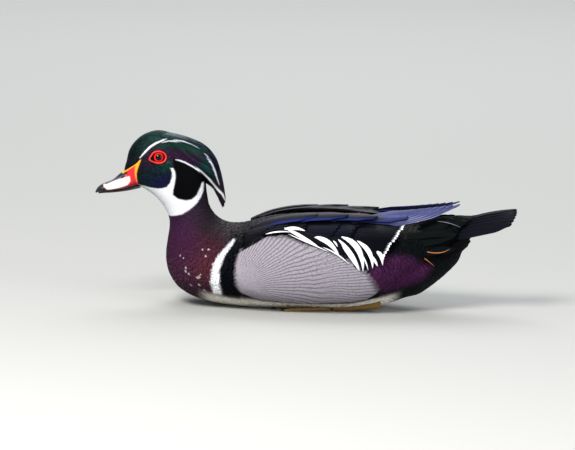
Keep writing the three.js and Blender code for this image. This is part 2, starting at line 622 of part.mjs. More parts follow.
// The fleshy ring round the eye, drawn out to a corner at the front
function lid(side, extra) {
  const rings = [];
  for (let i = 0; i <= LID.points; i++) {
    const angle = (2 * Math.PI * i) / LID.points;
    const corner = 1 + LID.corner * Math.max(0, -Math.cos(angle - LID.cornerAngle)) ** LID.cornerSharp;
    const [x, z] = [EYE.x + LID.long * corner * Math.cos(angle), EYE.z + LID.high * corner * Math.sin(angle)];
    const { point, normal } = headSpot(x, z, side);
    const centre = headSpot(EYE.x, EYE.z, side).point;
    const outward = point.clone().sub(centre).projectOnPlane(normal).normalize();
    const ring = [];
    for (let j = 0; j < LID.sides; j++) {
      const turn = (2 * Math.PI * j) / LID.sides;
      ring.push(point.clone().addScaledVector(normal, LID.proud + (LID.tube + extra) * Math.sin(turn))
        .addScaledVector(outward, (LID.tube + extra) * Math.cos(turn)));
    }
    rings.push(ring);
  }
  return solidOf(hoopMesh(rings.slice(0, -1)));
}

// The bare shield at the sides of the bill's base, which lies over the cheek's feathers
function shield() {
  const outline = new THREE.Shape(SHIELD.map(([x, z]) => new THREE.Vector2(x, z)));
  const prism = new THREE.ExtrudeGeometry(outline, { depth: 60, bevelEnabled: false });
  prism.translate(0, 0, -30).rotateX(Math.PI / 2);
  const place = prism.attributes.position;
  for (let i = 0; i < place.count; i++) {
    const corner = turned(new THREE.Vector3().fromBufferAttribute(place, i));
    place.setXYZ(i, corner.x, corner.y, corner.z);
  }
  return stretch(body, ...SHIELD_REACH, RINGS, SHIELD_LIFT).intersect(solidOf(prism));
}

function nostril(side) {
  const pit = new THREE.SphereGeometry(1, 8, 6).scale(NOSTRIL.long / 2, NOSTRIL.deep, NOSTRIL.high / 2);
  pit.rotateY(THREE.MathUtils.degToRad(NOSTRIL.slope));
  const centre = turned(new THREE.Vector3(NOSTRIL.x, side * NOSTRIL.y, NOSTRIL.z));
  return solidOf(pit.translate(...centre));
}

function foot(side, extra) {
  const place = ([x, y, z]) => new THREE.Vector3(x, side * y, z);
  const pieces = FOOT.toes.map((toe) => {
    const rings = toe.map(([x, y, radius]) => {
      const r = radius + extra;
      const ring = [];
      for (let j = 0; j < TOE_SIDES; j++) {
        const angle = (2 * Math.PI * (j + 0.5)) / TOE_SIDES;
        const z = Math.max(radius * TOE_SUNK + r * Math.sin(angle), -extra);
        ring.push(place([x, y + r * Math.cos(angle), z]));
      }
      return ring;
    });
    return solidOf(ringMesh(rings));
  });
  const web = new THREE.Shape(FOOT.web.map(([x, y]) => new THREE.Vector2(x, side * y)));
  const sheet = new THREE.ExtrudeGeometry(web, { depth: FOOT.webThick + 2 * extra, bevelEnabled: false });
  pieces.push(solidOf(sheet.translate(0, 0, FOOT.webRise - extra)));
  return fused(pieces);
}

function leg(side, extra) {
  const rings = LEG.map(([x, y, z, radius]) => {
    const ring = [];
    for (let j = 0; j < LEG_SIDES; j++) {
      const angle = (2 * Math.PI * (j + 0.5)) / LEG_SIDES;
      const [out, up] = [Math.cos(angle), Math.sin(angle)].map((value) => value * (radius + extra));
      ring.push(new THREE.Vector3(x, side * (y + out), Math.max(z + up, -extra)));
    }
    return ring;
  });
  return solidOf(ringMesh(rings));
}

// Putting the whole together

const part = new THREE.Group();

function add(name, solid, finish) {
  const [color, roughness] = FINISHES[finish];
  const mesh = new THREE.Mesh(geometryOf(solid), new THREE.MeshStandardMaterial({ color, roughness }));
  mesh.name = name;
  part.add(mesh);
}

// The whole crest, grown by extra on every side
function crestSolid(extra) {
  const core = stretch(crestForm, 0, CREST_CORE, CREST_RINGS, CREST_SINK + extra, CREST_AROUND);
  return fused([core, ...crestFeathers(extra)]);
}

// The upper bill without its shield, grown by lift
function billSolid(lift) {
  return stretch(upperBill, BILL_FROM, UPPER_BILL.length - 1, RINGS, lift, BILL_AROUND);
}

const floor = solidOf(new THREE.BoxGeometry(700, 400, 100).translate(0, 0, -50));
const headCutter = bodyStretch(STATION.head - SEAM * 2, STATION.neck, GAP);
const shieldCutter = stretch(body, ...SHIELD_REACH, RINGS, SHIELD_LIFT + GAP);
const bodyCutter = bodyStretch(STATION.torso - 2, STATION.end, GAP);
const tailCutter = fused(tailFeathers(GAP));

function headPart() {
  let head = bodyStretch(STATION.head, STATION.neck - SEAM);
  for (const side of Object.values(SIDES)) head = head.subtract(eyeBall(side, GAP)).subtract(lid(side, GAP));
  return head;
}

function crestPiece() {
  return crestSolid(0).subtract(bodyStretch(STATION.head, STATION.torso, GAP));
}

function upperBillPart() {
  let bill = billSolid(0).add(shield()).subtract(headCutter);
  for (const side of Object.values(SIDES)) bill = bill.subtract(nostril(side));
  return bill;
}

function lowerBillPart() {
  return stretch(lowerBill, 0, LOWER_BILL.length - 1, RINGS, 0, LOWER_BILL_AROUND)
    .subtract(fused([headCutter, billSolid(GAP), shieldCutter]));
}

function torsoPart() {
  let torso = bodyStretch(STATION.torso, STATION.rump).subtract(floor).subtract(tailCutter);
  for (const side of Object.values(SIDES)) torso = torso.subtract(foot(side, GAP)).subtract(leg(side, GAP));
  return torso;
}

function tailPart() {
  return fused([bodyStretch(STATION.rump + SEAM, STATION.end), ...tailFeathers(0)]);
}

function flankPart(side) {
  return fused([sidePatch(FLANK, side), ...flankPlumes(side, 0)]).subtract(bodyCutter);
}

function flankCutter(side) {
  return sidePatch(FLANK, side, GAP).add(fused(flankPlumes(side, GAP)));
}

function wingPart(side) {
  return fused([sidePatch(WING, side), ...wingFeathers(side, 0)])
    .subtract(fused([bodyCutter, flankCutter(side), tailCutter]));
}

// The hind part of the wing, which the rump keeps clear of
function wingCutter(side) {
  return fused([sidePatch(WING, side, GAP), ...lyingFeathers(SECONDARIES, side, GAP, 2)]);
}

function rumpPart() {
  const sides = Object.values(SIDES);
  const plumes = sides.flatMap((side) => feathers(RUMP_PLUMES, side, 0));
  let rump = fused([crossPatch(RUMP, 0), ...plumes, ...feathers(TAIL_COVERTS, 1, 0)]);
  rump = rump.subtract(bodyCutter).subtract(tailCutter);
  for (const side of sides) rump = rump.subtract(wingCutter(side)).subtract(sidePatch(FLANK, side, GAP));
  return rump;
}

function undertailPart() {
  const faceDown = (point) => bodyNormal(point).setZ(-Math.abs(bodyNormal(point).z)).normalize();
  let undertail = fused([crossPatch(UNDERTAIL, 180), ...feathers(UNDER_COVERTS, 1, 0, 3, faceDown)]);
  undertail = undertail.subtract(bodyCutter).subtract(tailCutter);
  const sides = Object.values(SIDES);
  const plumes = sides.flatMap((side) => feathers(RUMP_PLUMES, side, GAP));
  undertail = undertail.subtract(fused([crossPatch(RUMP, 0, GAP), ...plumes]));
  for (const side of sides) undertail = undertail.subtract(sidePatch(FLANK, side, GAP));
  return undertail;
}

add("head", headPart(), "green");
add("crest", crestPiece(), "green");
add("bill_upper", upperBillPart(), "red");
add("bill_lower", lowerBillPart(), "black");
add("neck", bodyStretch(STATION.neck, STATION.torso - SEAM).subtract(crestSolid(GAP)), "purple");
add("torso", torsoPart(), "bronze");
add("tail", tailPart(), "tail");
add("rump", rumpPart(), "black");
add("undertail", undertailPart(), "black");
for (const [name, side] of Object.entries(SIDES)) {
  add(`eye_${name}`, eyeBall(side, 0).subtract(lid(side, GAP)), "iris");
  add(`lid_${name}`, lid(side, 0), "red");
  add(`flank_${name}`, flankPart(side), "tan");
  add(`wing_${name}`, wingPart(side), "black");
  add(`leg_${name}`, leg(side, 0).subtract(foot(side, GAP)), "leg");
  add(`foot_${name}`, foot(side, 0).subtract(floor), "leg");
}
part.position.x = CENTRE_X;

export default part;
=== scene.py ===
"""A wood duck drake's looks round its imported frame: skin, coat, flight feathers, bill, eyes and feet.

Lengths are millimetres until a mesh is made. Spots on the body are given as in the frame's source: a place
along it, counted in sections from the bill's base, and a girth in degrees from the back, negative on the
left. Markings are given in a side view of the bird with its head straight, as x and z. A tint is a colour
and the share of metallic sheen that goes with it.
"""

import copy
import math

import bmesh
import bpy
import numpy as np
from mathutils import Matrix, Vector


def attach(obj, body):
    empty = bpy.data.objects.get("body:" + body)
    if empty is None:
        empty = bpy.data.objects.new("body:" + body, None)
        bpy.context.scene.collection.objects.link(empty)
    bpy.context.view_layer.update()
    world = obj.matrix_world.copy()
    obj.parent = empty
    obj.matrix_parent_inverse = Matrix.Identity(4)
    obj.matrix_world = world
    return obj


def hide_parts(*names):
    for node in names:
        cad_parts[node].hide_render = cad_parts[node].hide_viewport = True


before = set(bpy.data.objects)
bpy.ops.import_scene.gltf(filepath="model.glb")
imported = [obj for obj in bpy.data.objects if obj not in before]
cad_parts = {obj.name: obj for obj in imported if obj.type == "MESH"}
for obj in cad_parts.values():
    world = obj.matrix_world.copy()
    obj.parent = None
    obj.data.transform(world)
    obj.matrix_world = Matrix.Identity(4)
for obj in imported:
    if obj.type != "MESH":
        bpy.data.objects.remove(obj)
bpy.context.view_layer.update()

MM = 0.001
CENTRE_X = 2.05  # moves the middle of the whole length to x = 0
HEAD_TURN = 9  # degrees that the bill turns towards the left side
TURN_X = -128  # x of the upright line that the head turns about
SIDES = {"left": -1, "right": 1}
SEED = 20261
REST_GAP = 0.02  # how far the lowest feathers and toes stay above the floor

# Back x, back z, front x, front z, half width, level of that width, squareness, share of the head's turn
BODY = np.array([
    [-188, 131.5, -173.5, 118, 7.4, -0.15, 2, 1],
    [-185.2, 141, -167.5, 114.5, 11.3, -0.15, 2, 1],
    [-182.6, 152.5, -161.5, 110.8, 14.4, -0.12, 2.1, 1],
    [-176.5, 162, -155.5, 106.6, 16.6, -0.12, 2.1, 1],
    [-166.5, 169.6, -150.5, 101.6, 18, -0.16, 2.1, 1],
    [-153, 173, -146, 95.8, 19.2, -0.18, 2.1, 1],
    [-138.5, 169, -142.2, 89.6, 19.6, -0.16, 2.1, 0.97],
    [-124, 159, -140.2, 84, 19.4, -0.1, 2.1, 0.9],
    [-112.5, 145, -139.6, 79, 18.8, 0, 2.1, 0.8],
    [-106, 128.5, -139.8, 74, 18.6, 0, 2.1, 0.64],
    [-103.6, 112.5, -140.6, 68, 19.8, 0, 2.1, 0.45],
    [-100.4, 98.5, -141.6, 60, 24, -0.02, 2.1, 0.25],
    [-93.5, 88.6, -142.4, 50.5, 31.5, -0.06, 2.1, 0.1],
    [-84.2, 82.6, -141.4, 39.5, 40.5, -0.1, 2.15, 0.02],
    [-74, 80.6, -137, 27, 48.5, -0.12, 2.2, 0],
    [-62, 81.6, -127, 15, 55, -0.12, 2.2, 0],
    [-48, 85.8, -108, 5.8, 60, -0.1, 2.2, 0],
    [-30, 90, -80, 0.6, 63.5, -0.08, 2.25, 0],
    [-6, 91.8, -46, -1, 65.5, -0.06, 2.3, 0],
    [24, 91.2, 0, -1, 65.5, -0.04, 2.3, 0],
    [54, 88.2, 42, -0.4, 62, 0, 2.25, 0],
    [82, 84.6, 78, 5, 54, 0.06, 2.2, 0],
    [105, 83.4, 106, 16.5, 42.5, 0.12, 2.1, 0],
    [124, 85.2, 128, 32, 31, 0.2, 2, 0],
    [140, 88.2, 146, 50, 21, 0.3, 2, 0],
    [153, 91.4, 158, 68.5, 12.5, 0.4, 2, 0],
])
CREST = np.array([
    [-156, 172.8, -150, 158, 11, 0.1, 2, 1],
    [-139, 170, -134, 147, 15.5, 0, 2.1, 1],
    [-121, 164.6, -119, 133, 16.6, -0.1, 2.1, 1],
    [-106.5, 157.6, -107, 121, 15.2, -0.1, 2.1, 1],
    [-96.4, 146.6, -98.6, 114.6, 12.4, -0.1, 2.1, 1],
    [-90.8, 132.6, -93.6, 108.6, 9.2, -0.1, 2, 1],
    [-87.2, 118.4, -89.4, 101.6, 6, 0, 2, 1],
    [-84.6, 104, -86, 95.6, 3, 0, 2, 1],
])
UPPER_BILL = np.array([
    [-180, 138, -165, 122, 11.8, -0.3, 2, 1],
    [-188.2, 131.4, -173.8, 118.6, 8.8, -0.2, 2, 1],
    [-192.4, 128, -182.8, 115.6, 8, -0.3, 2, 1],
    [-197.8, 123.2, -192, 113.5, 7.3, -0.4, 2.1, 1],
    [-204.6, 120.2, -200.4, 112.3, 6.9, -0.4, 2.2, 1],
    [-209.8, 117.6, -207.6, 111.5, 6, -0.3, 2.3, 1],
    [-213.4, 114.6, -212.6, 110.2, 4.2, -0.2, 2.3, 1],
    [-215.6, 111, -215.2, 109, 1.6, 0, 2, 1],
])
LOWER_BILL = np.array([
    [-172.6, 118.6, -170.6, 115, 8.2, 0.2, 2.3, 1],
    [-182.6, 115.2, -182, 112.2, 7.4, 0.3, 2.3, 1],
    [-191.8, 113.1, -191.4, 110.7, 6.7, 0.4, 2.3, 1],
    [-200.4, 111.9, -200.2, 109.7, 6.2, 0.4, 2.3, 1],
    [-207.6, 111.1, -207.6, 109.2, 5.2, 0.4, 2.3, 1],
    [-212.2, 109.8, -212.4, 108.6, 3.2, 0.2, 2.2, 1],
])

# Sections


def smooth_read(column, place):
    """A smooth value between the entries of a list, at places counted in entries."""
    last = len(column) - 1
    i = np.clip(np.floor(place).astype(int), 0, last - 1)
    t = place - i
    a, b, c, d = (column[np.clip(i + k, 0, last)] for k in (-1, 0, 1, 2))
    return b + 0.5 * t * (c - a + t * (2 * a - 5 * b + 4 * c - d + t * (3 * (b - c) + d - a)))


def section_point(form, place, girth):
    """Points of a sectioned form with the head straight, and their share of its turn."""
    at = [smooth_read(form[:, k], place) for k in range(8)]
    angle = np.radians(girth)
    up, out = (np.sign(k) * np.abs(k) ** (2 / at[6]) for k in (np.cos(angle), np.sin(angle)))
    share = (1 + at[5] + up * np.where(up > 0, 1 - at[5], 1 + at[5])) / 2
    x = at[2] + (at[0] - at[2]) * share
    z = at[3] + (at[1] - at[3]) * share
    return np.stack([x, out * at[4], z], -1), np.clip(at[7], 0, 1)


def turned(points, share):
    """Points turned with the head about the upright line in the neck, and back where the share is -1."""
    angle = np.radians(HEAD_TURN) * share
    x, y = points[..., 0] - TURN_X, points[..., 1]
    cos, sin = np.cos(angle), np.sin(angle)
    return np.stack([x * cos - y * sin + TURN_X, x * sin + y * cos, points[..., 2]], -1)


def unit(vectors):
    return vectors / (np.linalg.norm(vectors, axis=-1, keepdims=True) + 1e-12)


def dot(a, b):
    return (a * b).sum(-1)


def ramp(value, low, high):
    """0 below low, 1 above high, smooth between."""
    t = np.clip((value - low) / (high - low), 0, 1)
    return t * t * (3 - 2 * t)


class Surface:
    """A sectioned form as a grid of points, read at any place and girth."""

    def __init__(self, form, rows, columns):
        self.high = len(form) - 1
        places, girths = np.linspace(0, self.high, rows), np.linspace(-180, 180, columns)
        self.place, self.girth = np.meshgrid(places, girths, indexing="ij")
        straight, share = section_point(form, self.place, self.girth)
        self.side = straight[..., [0, 2]]
        self.x, self.z = straight[..., 0], straight[..., 2]
        self.tint = np.ones(self.place.shape + (4,))
        self.points = turned(straight, share)
        self.normals = self.facing()

    def facing(self):
        along = np.gradient(self.points, axis=0)
        padded = np.concatenate([self.points[:, -2:-1], self.points, self.points[:, 1:2]], 1)
        return unit(np.cross(along, padded[:, 2:] - padded[:, :-2]))

    def raised(self, height):
        """The same surface moved out by a height at each point."""
        other = copy.copy(self)
        other.points = self.points + self.normals * height[..., None]
        other.normals = other.facing()
        return other

    def at(self, name, place, girth):
        """What the grid holds under a name, at any places and girths."""
        field = getattr(self, name)
        rows, columns = field.shape[:2]
        u = np.clip(place / self.high, 0, 1) * (rows - 1)
        v = ((girth + 180) / 360 % 1) * (columns - 1)
        i = np.minimum(u.astype(int), rows - 2)
        j = np.minimum(v.astype(int), columns - 2)
        fu, fv = (u - i)[..., None], (v - j)[..., None]
        near, far = (field[k, j] * (1 - fv) + field[k, j + 1] * fv for k in (i, i + 1))
        return near * (1 - fu) + far * fu

    def steps(self, place, girth):
        """Steps in place and girth for 1 mm along the surface and 1 mm across it, and a degree's length."""
        dp, dg = 0.04, 1
        place = np.clip(place, dp, self.high - dp)
        by_place = (self.at("points", place + dp, girth) - self.at("points", place - dp, girth)) / (2 * dp)
        by_girth = (self.at("points", place, girth + dg) - self.at("points", place, girth - dg)) / (2 * dg)
        along = unit(by_place)
        across = np.cross(self.at("normals", place, girth), along)
        e, f, g = dot(by_place, by_place), dot(by_place, by_girth), dot(by_girth, by_girth)
        det = e * g - f * f + 1e-9
        solved = []
        for way in (along, across):
            a, b = dot(way, by_place), dot(way, by_girth)
            solved.append(np.stack([(g * a - f * b) / det, (e * b - f * a) / det], -1))
        return *solved, np.sqrt(g)


BODY_END = len(BODY) - 1
CREST_END = len(CREST) - 1
HEAD_END = -100  # x in front of which a spot is sought on the head
HEAD_START = 5  # places where that search starts on the head and on the trunk
TRUNK_START = 18
SIDE_START = 70  # the girth where it starts
PLACE_STEP = 0.02  # steps over which it reads the slopes
GIRTH_STEP = 0.5
SPOT_ROUNDS = 40
TRUNK_FROM = 10.2  # the first place of the trunk
body = Surface(BODY, 1251, 721)
crest_form = Surface(CREST, 351, 241)


def spot(x, z, side):
    """Places and signed girths on a side of the body where the side view shows x and z, for arrays."""
    x, z = np.asarray(x, float), np.asarray(z, float)
    place, girth = np.where(x < HEAD_END, HEAD_START, TRUNK_START), np.full(x.shape, SIDE_START)
    for _ in range(SPOT_ROUNDS):
        here = section_point(BODY, place, girth)[0]
        by_place = (section_point(BODY, place + PLACE_STEP, girth)[0] - here) / PLACE_STEP
        by_girth = (section_point(BODY, place, girth + GIRTH_STEP)[0] - here) / GIRTH_STEP
        dx, dz = x - here[..., 0], z - here[..., 2]
        det = by_place[..., 0] * by_girth[..., 2] - by_girth[..., 0] * by_place[..., 2]
        place = place + np.clip((dx * by_girth[..., 2] - by_girth[..., 0] * dz) / det, -0.5, 0.5)
        girth = girth + np.clip((by_place[..., 0] * dz - dx * by_place[..., 2]) / det, -15, 15)
        girth = np.clip(girth, 5, 175)
    return place, girth * side


def place_at(x, girth):
    """The place along the trunk where its surface at this girth has this x, for arrays."""
    x, girth = np.broadcast_arrays(np.asarray(x, float), np.asarray(girth, float))
    low, high = np.full(x.shape, TRUNK_FROM), np.full(x.shape, float(BODY_END))
    for _ in range(24):
        middle = (low + high) / 2
        under = section_point(BODY, middle, girth)[0][..., 0] < x
        low, high = np.where(under, middle, low), np.where(under, high, middle)
    return (low + high) / 2


# Colours and markings


def rgb(code):
    """A linear colour from a plain screen code such as 3a2b1c."""
    values = [int(code[k:k + 2], 16) / 255 for k in (0, 2, 4)]
    return np.array([v / 12.92 if v <= 0.04045 else ((v + 0.055) / 1.055) ** 2.4 for v in values])


def line_distance(x, z, line):
    """Distance to a line of points, and the width that the nearest spot on it has."""
    best, width = np.full(x.shape, 1e9), np.zeros(x.shape)
    for (ax, az, *aw), (bx, bz, *bw) in zip(line[:-1], line[1:]):
        ux, uz = bx - ax, bz - az
        t = np.clip(((x - ax) * ux + (z - az) * uz) / (ux * ux + uz * uz), 0, 1)
        d = np.hypot(x - ax - t * ux, z - az - t * uz)
        nearer = d < best
        best = np.where(nearer, d, best)
        if aw:
            width = np.where(nearer, aw[0] + (bw[0] - aw[0]) * t, width)
    return best, width


def depth_in(x, z, outline):
    """How deep points lie inside an outline, negative outside it."""
    inside = np.zeros(x.shape, bool)
    closed = [*outline, outline[0]]
    for (ax, az), (bx, bz) in zip(closed[:-1], closed[1:]):
        if az != bz:
            inside ^= ((az > z) != (bz > z)) & (x < (bx - ax) * (z - az) / (bz - az) + ax)
    distance = line_distance(x, z, closed)[0]
    return np.where(inside, distance, -distance)


def area(x, z, outline, soft):
    return np.clip(0.5 + depth_in(x, z, outline) / soft, 0, 1)


def stroke(x, z, line, soft):
    distance, width = line_distance(x, z, line)
    return np.clip(0.5 + (width / 2 - distance) / soft, 0, 1)


def blended(x, z, base, blobs, sheen):
    """A tint from soft blobs, each centre x and z, half sizes, colour and strength, over a base."""
    total = np.full(x.shape, 0.35)
    colour = np.multiply.outer(total, rgb(base))
    for cx, cz, rx, rz, code, strength in blobs:
        w = strength * np.exp(-((x - cx) / rx) ** 2 - ((z - cz) / rz) ** 2)
        total = total + w
        colour = colour + np.multiply.outer(w, rgb(code))
    return np.concatenate([colour / total[..., None], np.full(x.shape + (1,), sheen)], -1)


def paint(tint, mask, shade, sheen=None):
    """A colour laid over a tint by a mask, and a sheen with it unless the one below is to stay."""
    tint = tint.copy()
    tint[..., :3] += (shade[..., :3] - tint[..., :3]) * mask[..., None]
    if sheen is not None:
        tint[..., 3] += (sheen - tint[..., 3]) * mask
    return tint


WHITE = rgb("e6e7ec")
BLACK = rgb("050507")
BELLY = rgb("e8e3d8")
# The flank's buff with painted shade: the cool blue-grey of sky-lit shade, greyer than the bird's own golden
# buff
TAN_IN_SHADE = rgb("969099")
BRONZE = rgb("242126")
WING_BLACK = rgb("07080d")
TERTIAL_BLACK = rgb("1a1a22")
RUMP_BLACK = rgb("090d0e")
MAROON = rgb("3a1a38")
GREY_BLUE = rgb("2a2f5c")

EYE = {"x": -155.4, "z": 147.8, "radius": 6.2, "sunk": 3.9}

# Lines as x, z and width, outlines as x and z
BROW = [
    (-173.8, 146.6, 0.6), (-169.2, 152.2, 1.4), (-164.3, 157.3, 1.6), (-158.2, 161.4, 1.6),
    (-151, 164.3, 1.2), (-147, 165.8, 0.4),
]
BROW_BACK = [
    (-152, 162.2, 0.3), (-143.8, 164, 1), (-137.3, 164.4, 0.9), (-130.4, 163.4, 0.6), (-122, 160.3, 0.3),
    (-115.3, 156.8, 0.2),
]
CREST_UPPER = [
    (-108.6, 151.6, 0.2), (-105.1, 147.1, 0.8), (-100.9, 140.1, 1.1), (-97.5, 132.9, 1.2),
    (-95.1, 125.8, 0.9), (-92.9, 120.4, 0.4),
]
CREST_LOWER = [
    (-137.6, 145.6, 0.7), (-134, 144.9, 1.2), (-128.5, 142.9, 1.2), (-120, 138.6, 1.3), (-111.4, 132.9, 1.4),
    (-103.4, 125.9, 1.6), (-95.5, 117.4, 1.8), (-88.7, 110, 1.6), (-84.9, 102.1, 0.7),
]
PRONG = [
    (-143.6, 137.2), (-141.6, 133.1), (-141.4, 128.5), (-143.4, 122.4), (-147.4, 117.2), (-139.9, 116),
    (-138.8, 121.5), (-138, 128.6), (-138.6, 133.6), (-141, 137.6),
]
BIB = [
    (-173.6, 118.9), (-167.5, 117.9), (-162.7, 116.8), (-155.1, 116), (-150.4, 116.8), (-146.6, 118.2),
    (-140, 118.5), (-140.1, 110.3), (-134.7, 106.3), (-126.3, 104.8), (-119.9, 105.8), (-114.7, 110.3),
    (-111.8, 116.6), (-109.6, 122.2), (-107.2, 122.6), (-107.5, 114.7), (-110.2, 108.2), (-115.3, 101.4),
    (-122.2, 95.3), (-130.3, 90.4), (-135.4, 88.9), (-141.5, 87.4), (-152, 84), (-166, 100), (-181, 112),
]
NECK_PATCH = [
    (-140.9, 146.5), (-140.2, 138), (-137.6, 128.6), (-138.6, 121.5), (-140.5, 117.4), (-140.1, 110.3),
    (-134.7, 106.3), (-126.3, 104.8), (-119.9, 105.8), (-114.7, 110.3), (-111.8, 116.6), (-108.6, 121.2),
    (-103.5, 121), (-101, 127), (-110.9, 134), (-120, 139.6), (-128.5, 143.9),
]
STRIPE = [
    (-75.2, 70.8), (-80.6, 65.4), (-88.4, 56.7), (-94.1, 47), (-95.9, 39.3), (-96.5, 28), (-93, 16),
    (-85, 16), (-88, 28), (-88.4, 39.8), (-85.6, 51), (-81.6, 58.1), (-77, 64.6), (-73.6, 70),
]
BAND = [
    (-74.8, 71.6), (-77, 64.6), (-81.6, 58.1), (-85.6, 51), (-88.4, 39.8), (-88, 28), (-84, 13), (-66, 11),
    (-71, 28), (-71.8, 40), (-71.1, 49.1), (-69.8, 56.2), (-69, 60.5), (-63.9, 62.6), (-51.3, 67.5),
    (-45, 72.2), (-36, 79), (-60, 84), (-70, 79),
]
FLANK_TAN = [
    (-71.8, 40), (-71.1, 49.1), (-69.8, 56.2), (-69, 60), (-63.9, 62.4), (-51.3, 67.5), (-45, 72.2),
    (-41.3, 73.9), (-22.9, 74.3), (-8.7, 69.5), (0.1, 67.1), (9.7, 65.5), (27.7, 59.7), (36.7, 56.1),
    (45.2, 51.9), (54, 45.3), (66, 38), (70, 28), (60, 17), (0, 12), (-50, 13), (-66, 20), (-71, 28),
]
MAROON_AREA = [
    (62, 50), (71.6, 60), (83.6, 60.4), (96.6, 58.8), (103.7, 57), (111.8, 53.2), (122, 47.5), (116, 38),
    (100, 28), (80, 22), (66, 30), (60, 40),
]

# Blobs of colour: centre x and z, half sizes, colour, strength
HEAD_BLOBS = [
    (-176, 134, 7, 9, "141b24", 1),
    (-166, 138, 8, 6, "24162a", 1),
    (-163, 129.5, 10, 4.5, "0a2520", 1.6),
    (-155, 135.5, 9, 3.2, "102a30", 1.4),
    (-147, 141, 6, 5, "0b3328", 1.6),
    (-155, 124, 11, 6, "18153a", 2),
    (-166, 121, 9, 4, "0a2727", 1.2),
    (-165, 150, 6, 6, "251520", 1),
    (-140, 152, 14, 5, "2e1630", 1.6),
    (-126, 147.5, 16, 6, "2e1630", 1.8),
    (-137, 159, 14, 3.4, "0b2f24", 2),
    (-119, 154, 12, 5, "0d362b", 1.8),
    (-107, 140, 7, 9, "0a2b27", 2),
    (-98, 126, 5, 9, "091f20", 2),
    (-120, 140, 10, 3, "1d1430", 1),
]
CROWN_BLOBS = [
    (-172, 160, 6, 8, "132422", 1.2),
    (-158, 168, 12, 4, "1a3330", 1.5),
    (-140, 168, 12, 3.5, "143132", 1.6),
    (-122, 162, 12, 4, "10242c", 1.4),
    (-105, 155, 9, 6, "151b38", 1.6),
]
NECK_BLOBS = [
    (-118, 88, 14, 16, "2a1c2c", 1.2),
    (-132, 76, 12, 14, "391b3a", 2),
]
BODY_BLOBS = [
    (-104, 96, 12, 18, "241d22", 2),
    (-88, 82, 14, 10, "2a2729", 2),
    (-132, 78, 12, 18, "391b3a", 2.2),
    (-122, 56, 18, 16, "401e38", 2.4),
    (-100, 62, 12, 10, "3d1d24", 1.8),
    (-104, 44, 12, 12, "4a2125", 2.2),
    (-128, 34, 14, 12, "44243a", 1.6),
]


def head_tint(x, z):
    """Tint of the head, crest and upper neck in the straight side view."""
    tint = blended(x, z, "17191f", HEAD_BLOBS, 0.75)
    brow = np.array(BROW + BROW_BACK[1:])
    top = ramp(z - np.interp(x, brow[:, 0], brow[:, 1]), -0.5, 1.5)
    tint = paint(tint, top, blended(x, z, "0b1919", CROWN_BLOBS, 0))
    behind = ramp(x, -112, -100) * ramp(z - 122 + (x + 96) * 2.4, 0, 6)
    tint = paint(tint, behind, rgb("0d0f22"))
    tint = paint(tint, ramp(np.hypot((x - EYE["x"]) / 8.6, (z - EYE["z"]) / 7.2), 1.12, 0.9), BLACK)
    neck = np.maximum(ramp(z, 112, 92), ramp(x + 0.25 * (z - 100), -112, -106) * ramp(z, 128, 120))
    tint = paint(tint, neck, blended(x, z, "241d22", NECK_BLOBS, 0), 0.3)
    tint = paint(tint, area(x, z, NECK_PATCH, 0.9), BLACK, 0.1 * tint[..., 3])
    under = ramp(z - (0.9 * -(x + 111) + 133), -1, -5) * ramp(x, -122, -112) * ramp(z, 119, 123)
    tint = paint(tint, under * ramp(x, -88, -94), BLACK)
    lines = [stroke(x, z, line, 0.7) for line in (BROW, BROW_BACK, CREST_UPPER, CREST_LOWER)]
    return paint(tint, np.max([area(x, z, BIB, 0.8), area(x, z, PRONG, 0.7), *lines], 0), WHITE, 0)


def body_tint(x, z, girth):
    """Tint of the neck, trunk and rump, by side view and girth."""
    around = np.abs(girth)
    mantle = ramp(around, 34, 27) * ramp(x, -84, -70)
    belly = ramp(around, 126, 140) * ramp(x, -112, -92) * ramp(x, 96, 78)
    tint = blended(x, z, "33202c", BODY_BLOBS, 0.35)
    for mask, shade, sheen in [
            (ramp(x, -84, -72) * (1 - mantle), WING_BLACK, 0.65),
            (mantle, BRONZE, None),
            (ramp(x, 78, 90), RUMP_BLACK, 0.4),
            (belly, BELLY, 0),
            (area(x, z, BAND, 1.4) * (1 - belly), WING_BLACK, 0.5),
            # the flank's buff, with its painted sky-lit shade
            (area(x, z, FLANK_TAN, 1.6), TAN_IN_SHADE, 0),
            (area(x, z, STRIPE, 1.2), WHITE, 0),
            (area(x, z, MAROON_AREA, 7) * ramp(around, 138, 124), MAROON, 0.5)]:
        tint = paint(tint, mask, shade, sheen)
    return tint


def skin_tint():
    """Tint over the whole skin: the head's, and the trunk's from the neck back."""
    x, z, place = body.x, body.z, body.place
    head, trunk = np.zeros((2, *x.shape, 4))
    near, far = place < 12.5, place > 9
    head[near] = head_tint(x[near], z[near])
    trunk[far] = body_tint(x[far], z[far], body.girth[far])
    share = np.maximum(ramp(z, 84, 76) * ramp(place, 9.5, 11), ramp(place, 11.2, 12.4))[..., None]
    return head * (1 - share) + trunk * share


# The skin's own shape: the loft with the swell of flanks, rump and undertail, lowered by the coat's depth

FLANK_OUTLINE = [
    (-77, 44), (-72, 54), (-64, 62), (-54, 69), (-40, 76.5), (-18, 78.5), (6, 74), (32, 70), (50, 65),
    (64, 58), (76, 50), (85, 40), (85, 34), (70, 20), (45, 12), (0, 10), (-45, 13), (-66, 20), (-77, 34),
]
FLANK_LIFT = 6.6
RUMP_LIFT = 3
UNDERTAIL_LIFT = 3.2
HEAD_COAT = 0.5
BODY_COAT = 1.1


def coat_depth(place):
    return HEAD_COAT + (BODY_COAT - HEAD_COAT) * ramp(place, 8, 12.5)


def skin_swell(deep):
    """How far the down under the feathers swells the loft."""
    x, around = body.x, np.abs(body.girth)
    flank = np.sin(np.pi / 2 * np.clip((deep + 3) / 14, 0, 1)) * FLANK_LIFT
    rump = ramp(x, 82, 96) * ramp(x, 153, 142) * ramp(around, 104, 84) * RUMP_LIFT
    under = ramp(x, 96, 112) * ramp(x, 156, 146) * ramp(around, 100, 118) * UNDERTAIL_LIFT
    return flank + rump + under


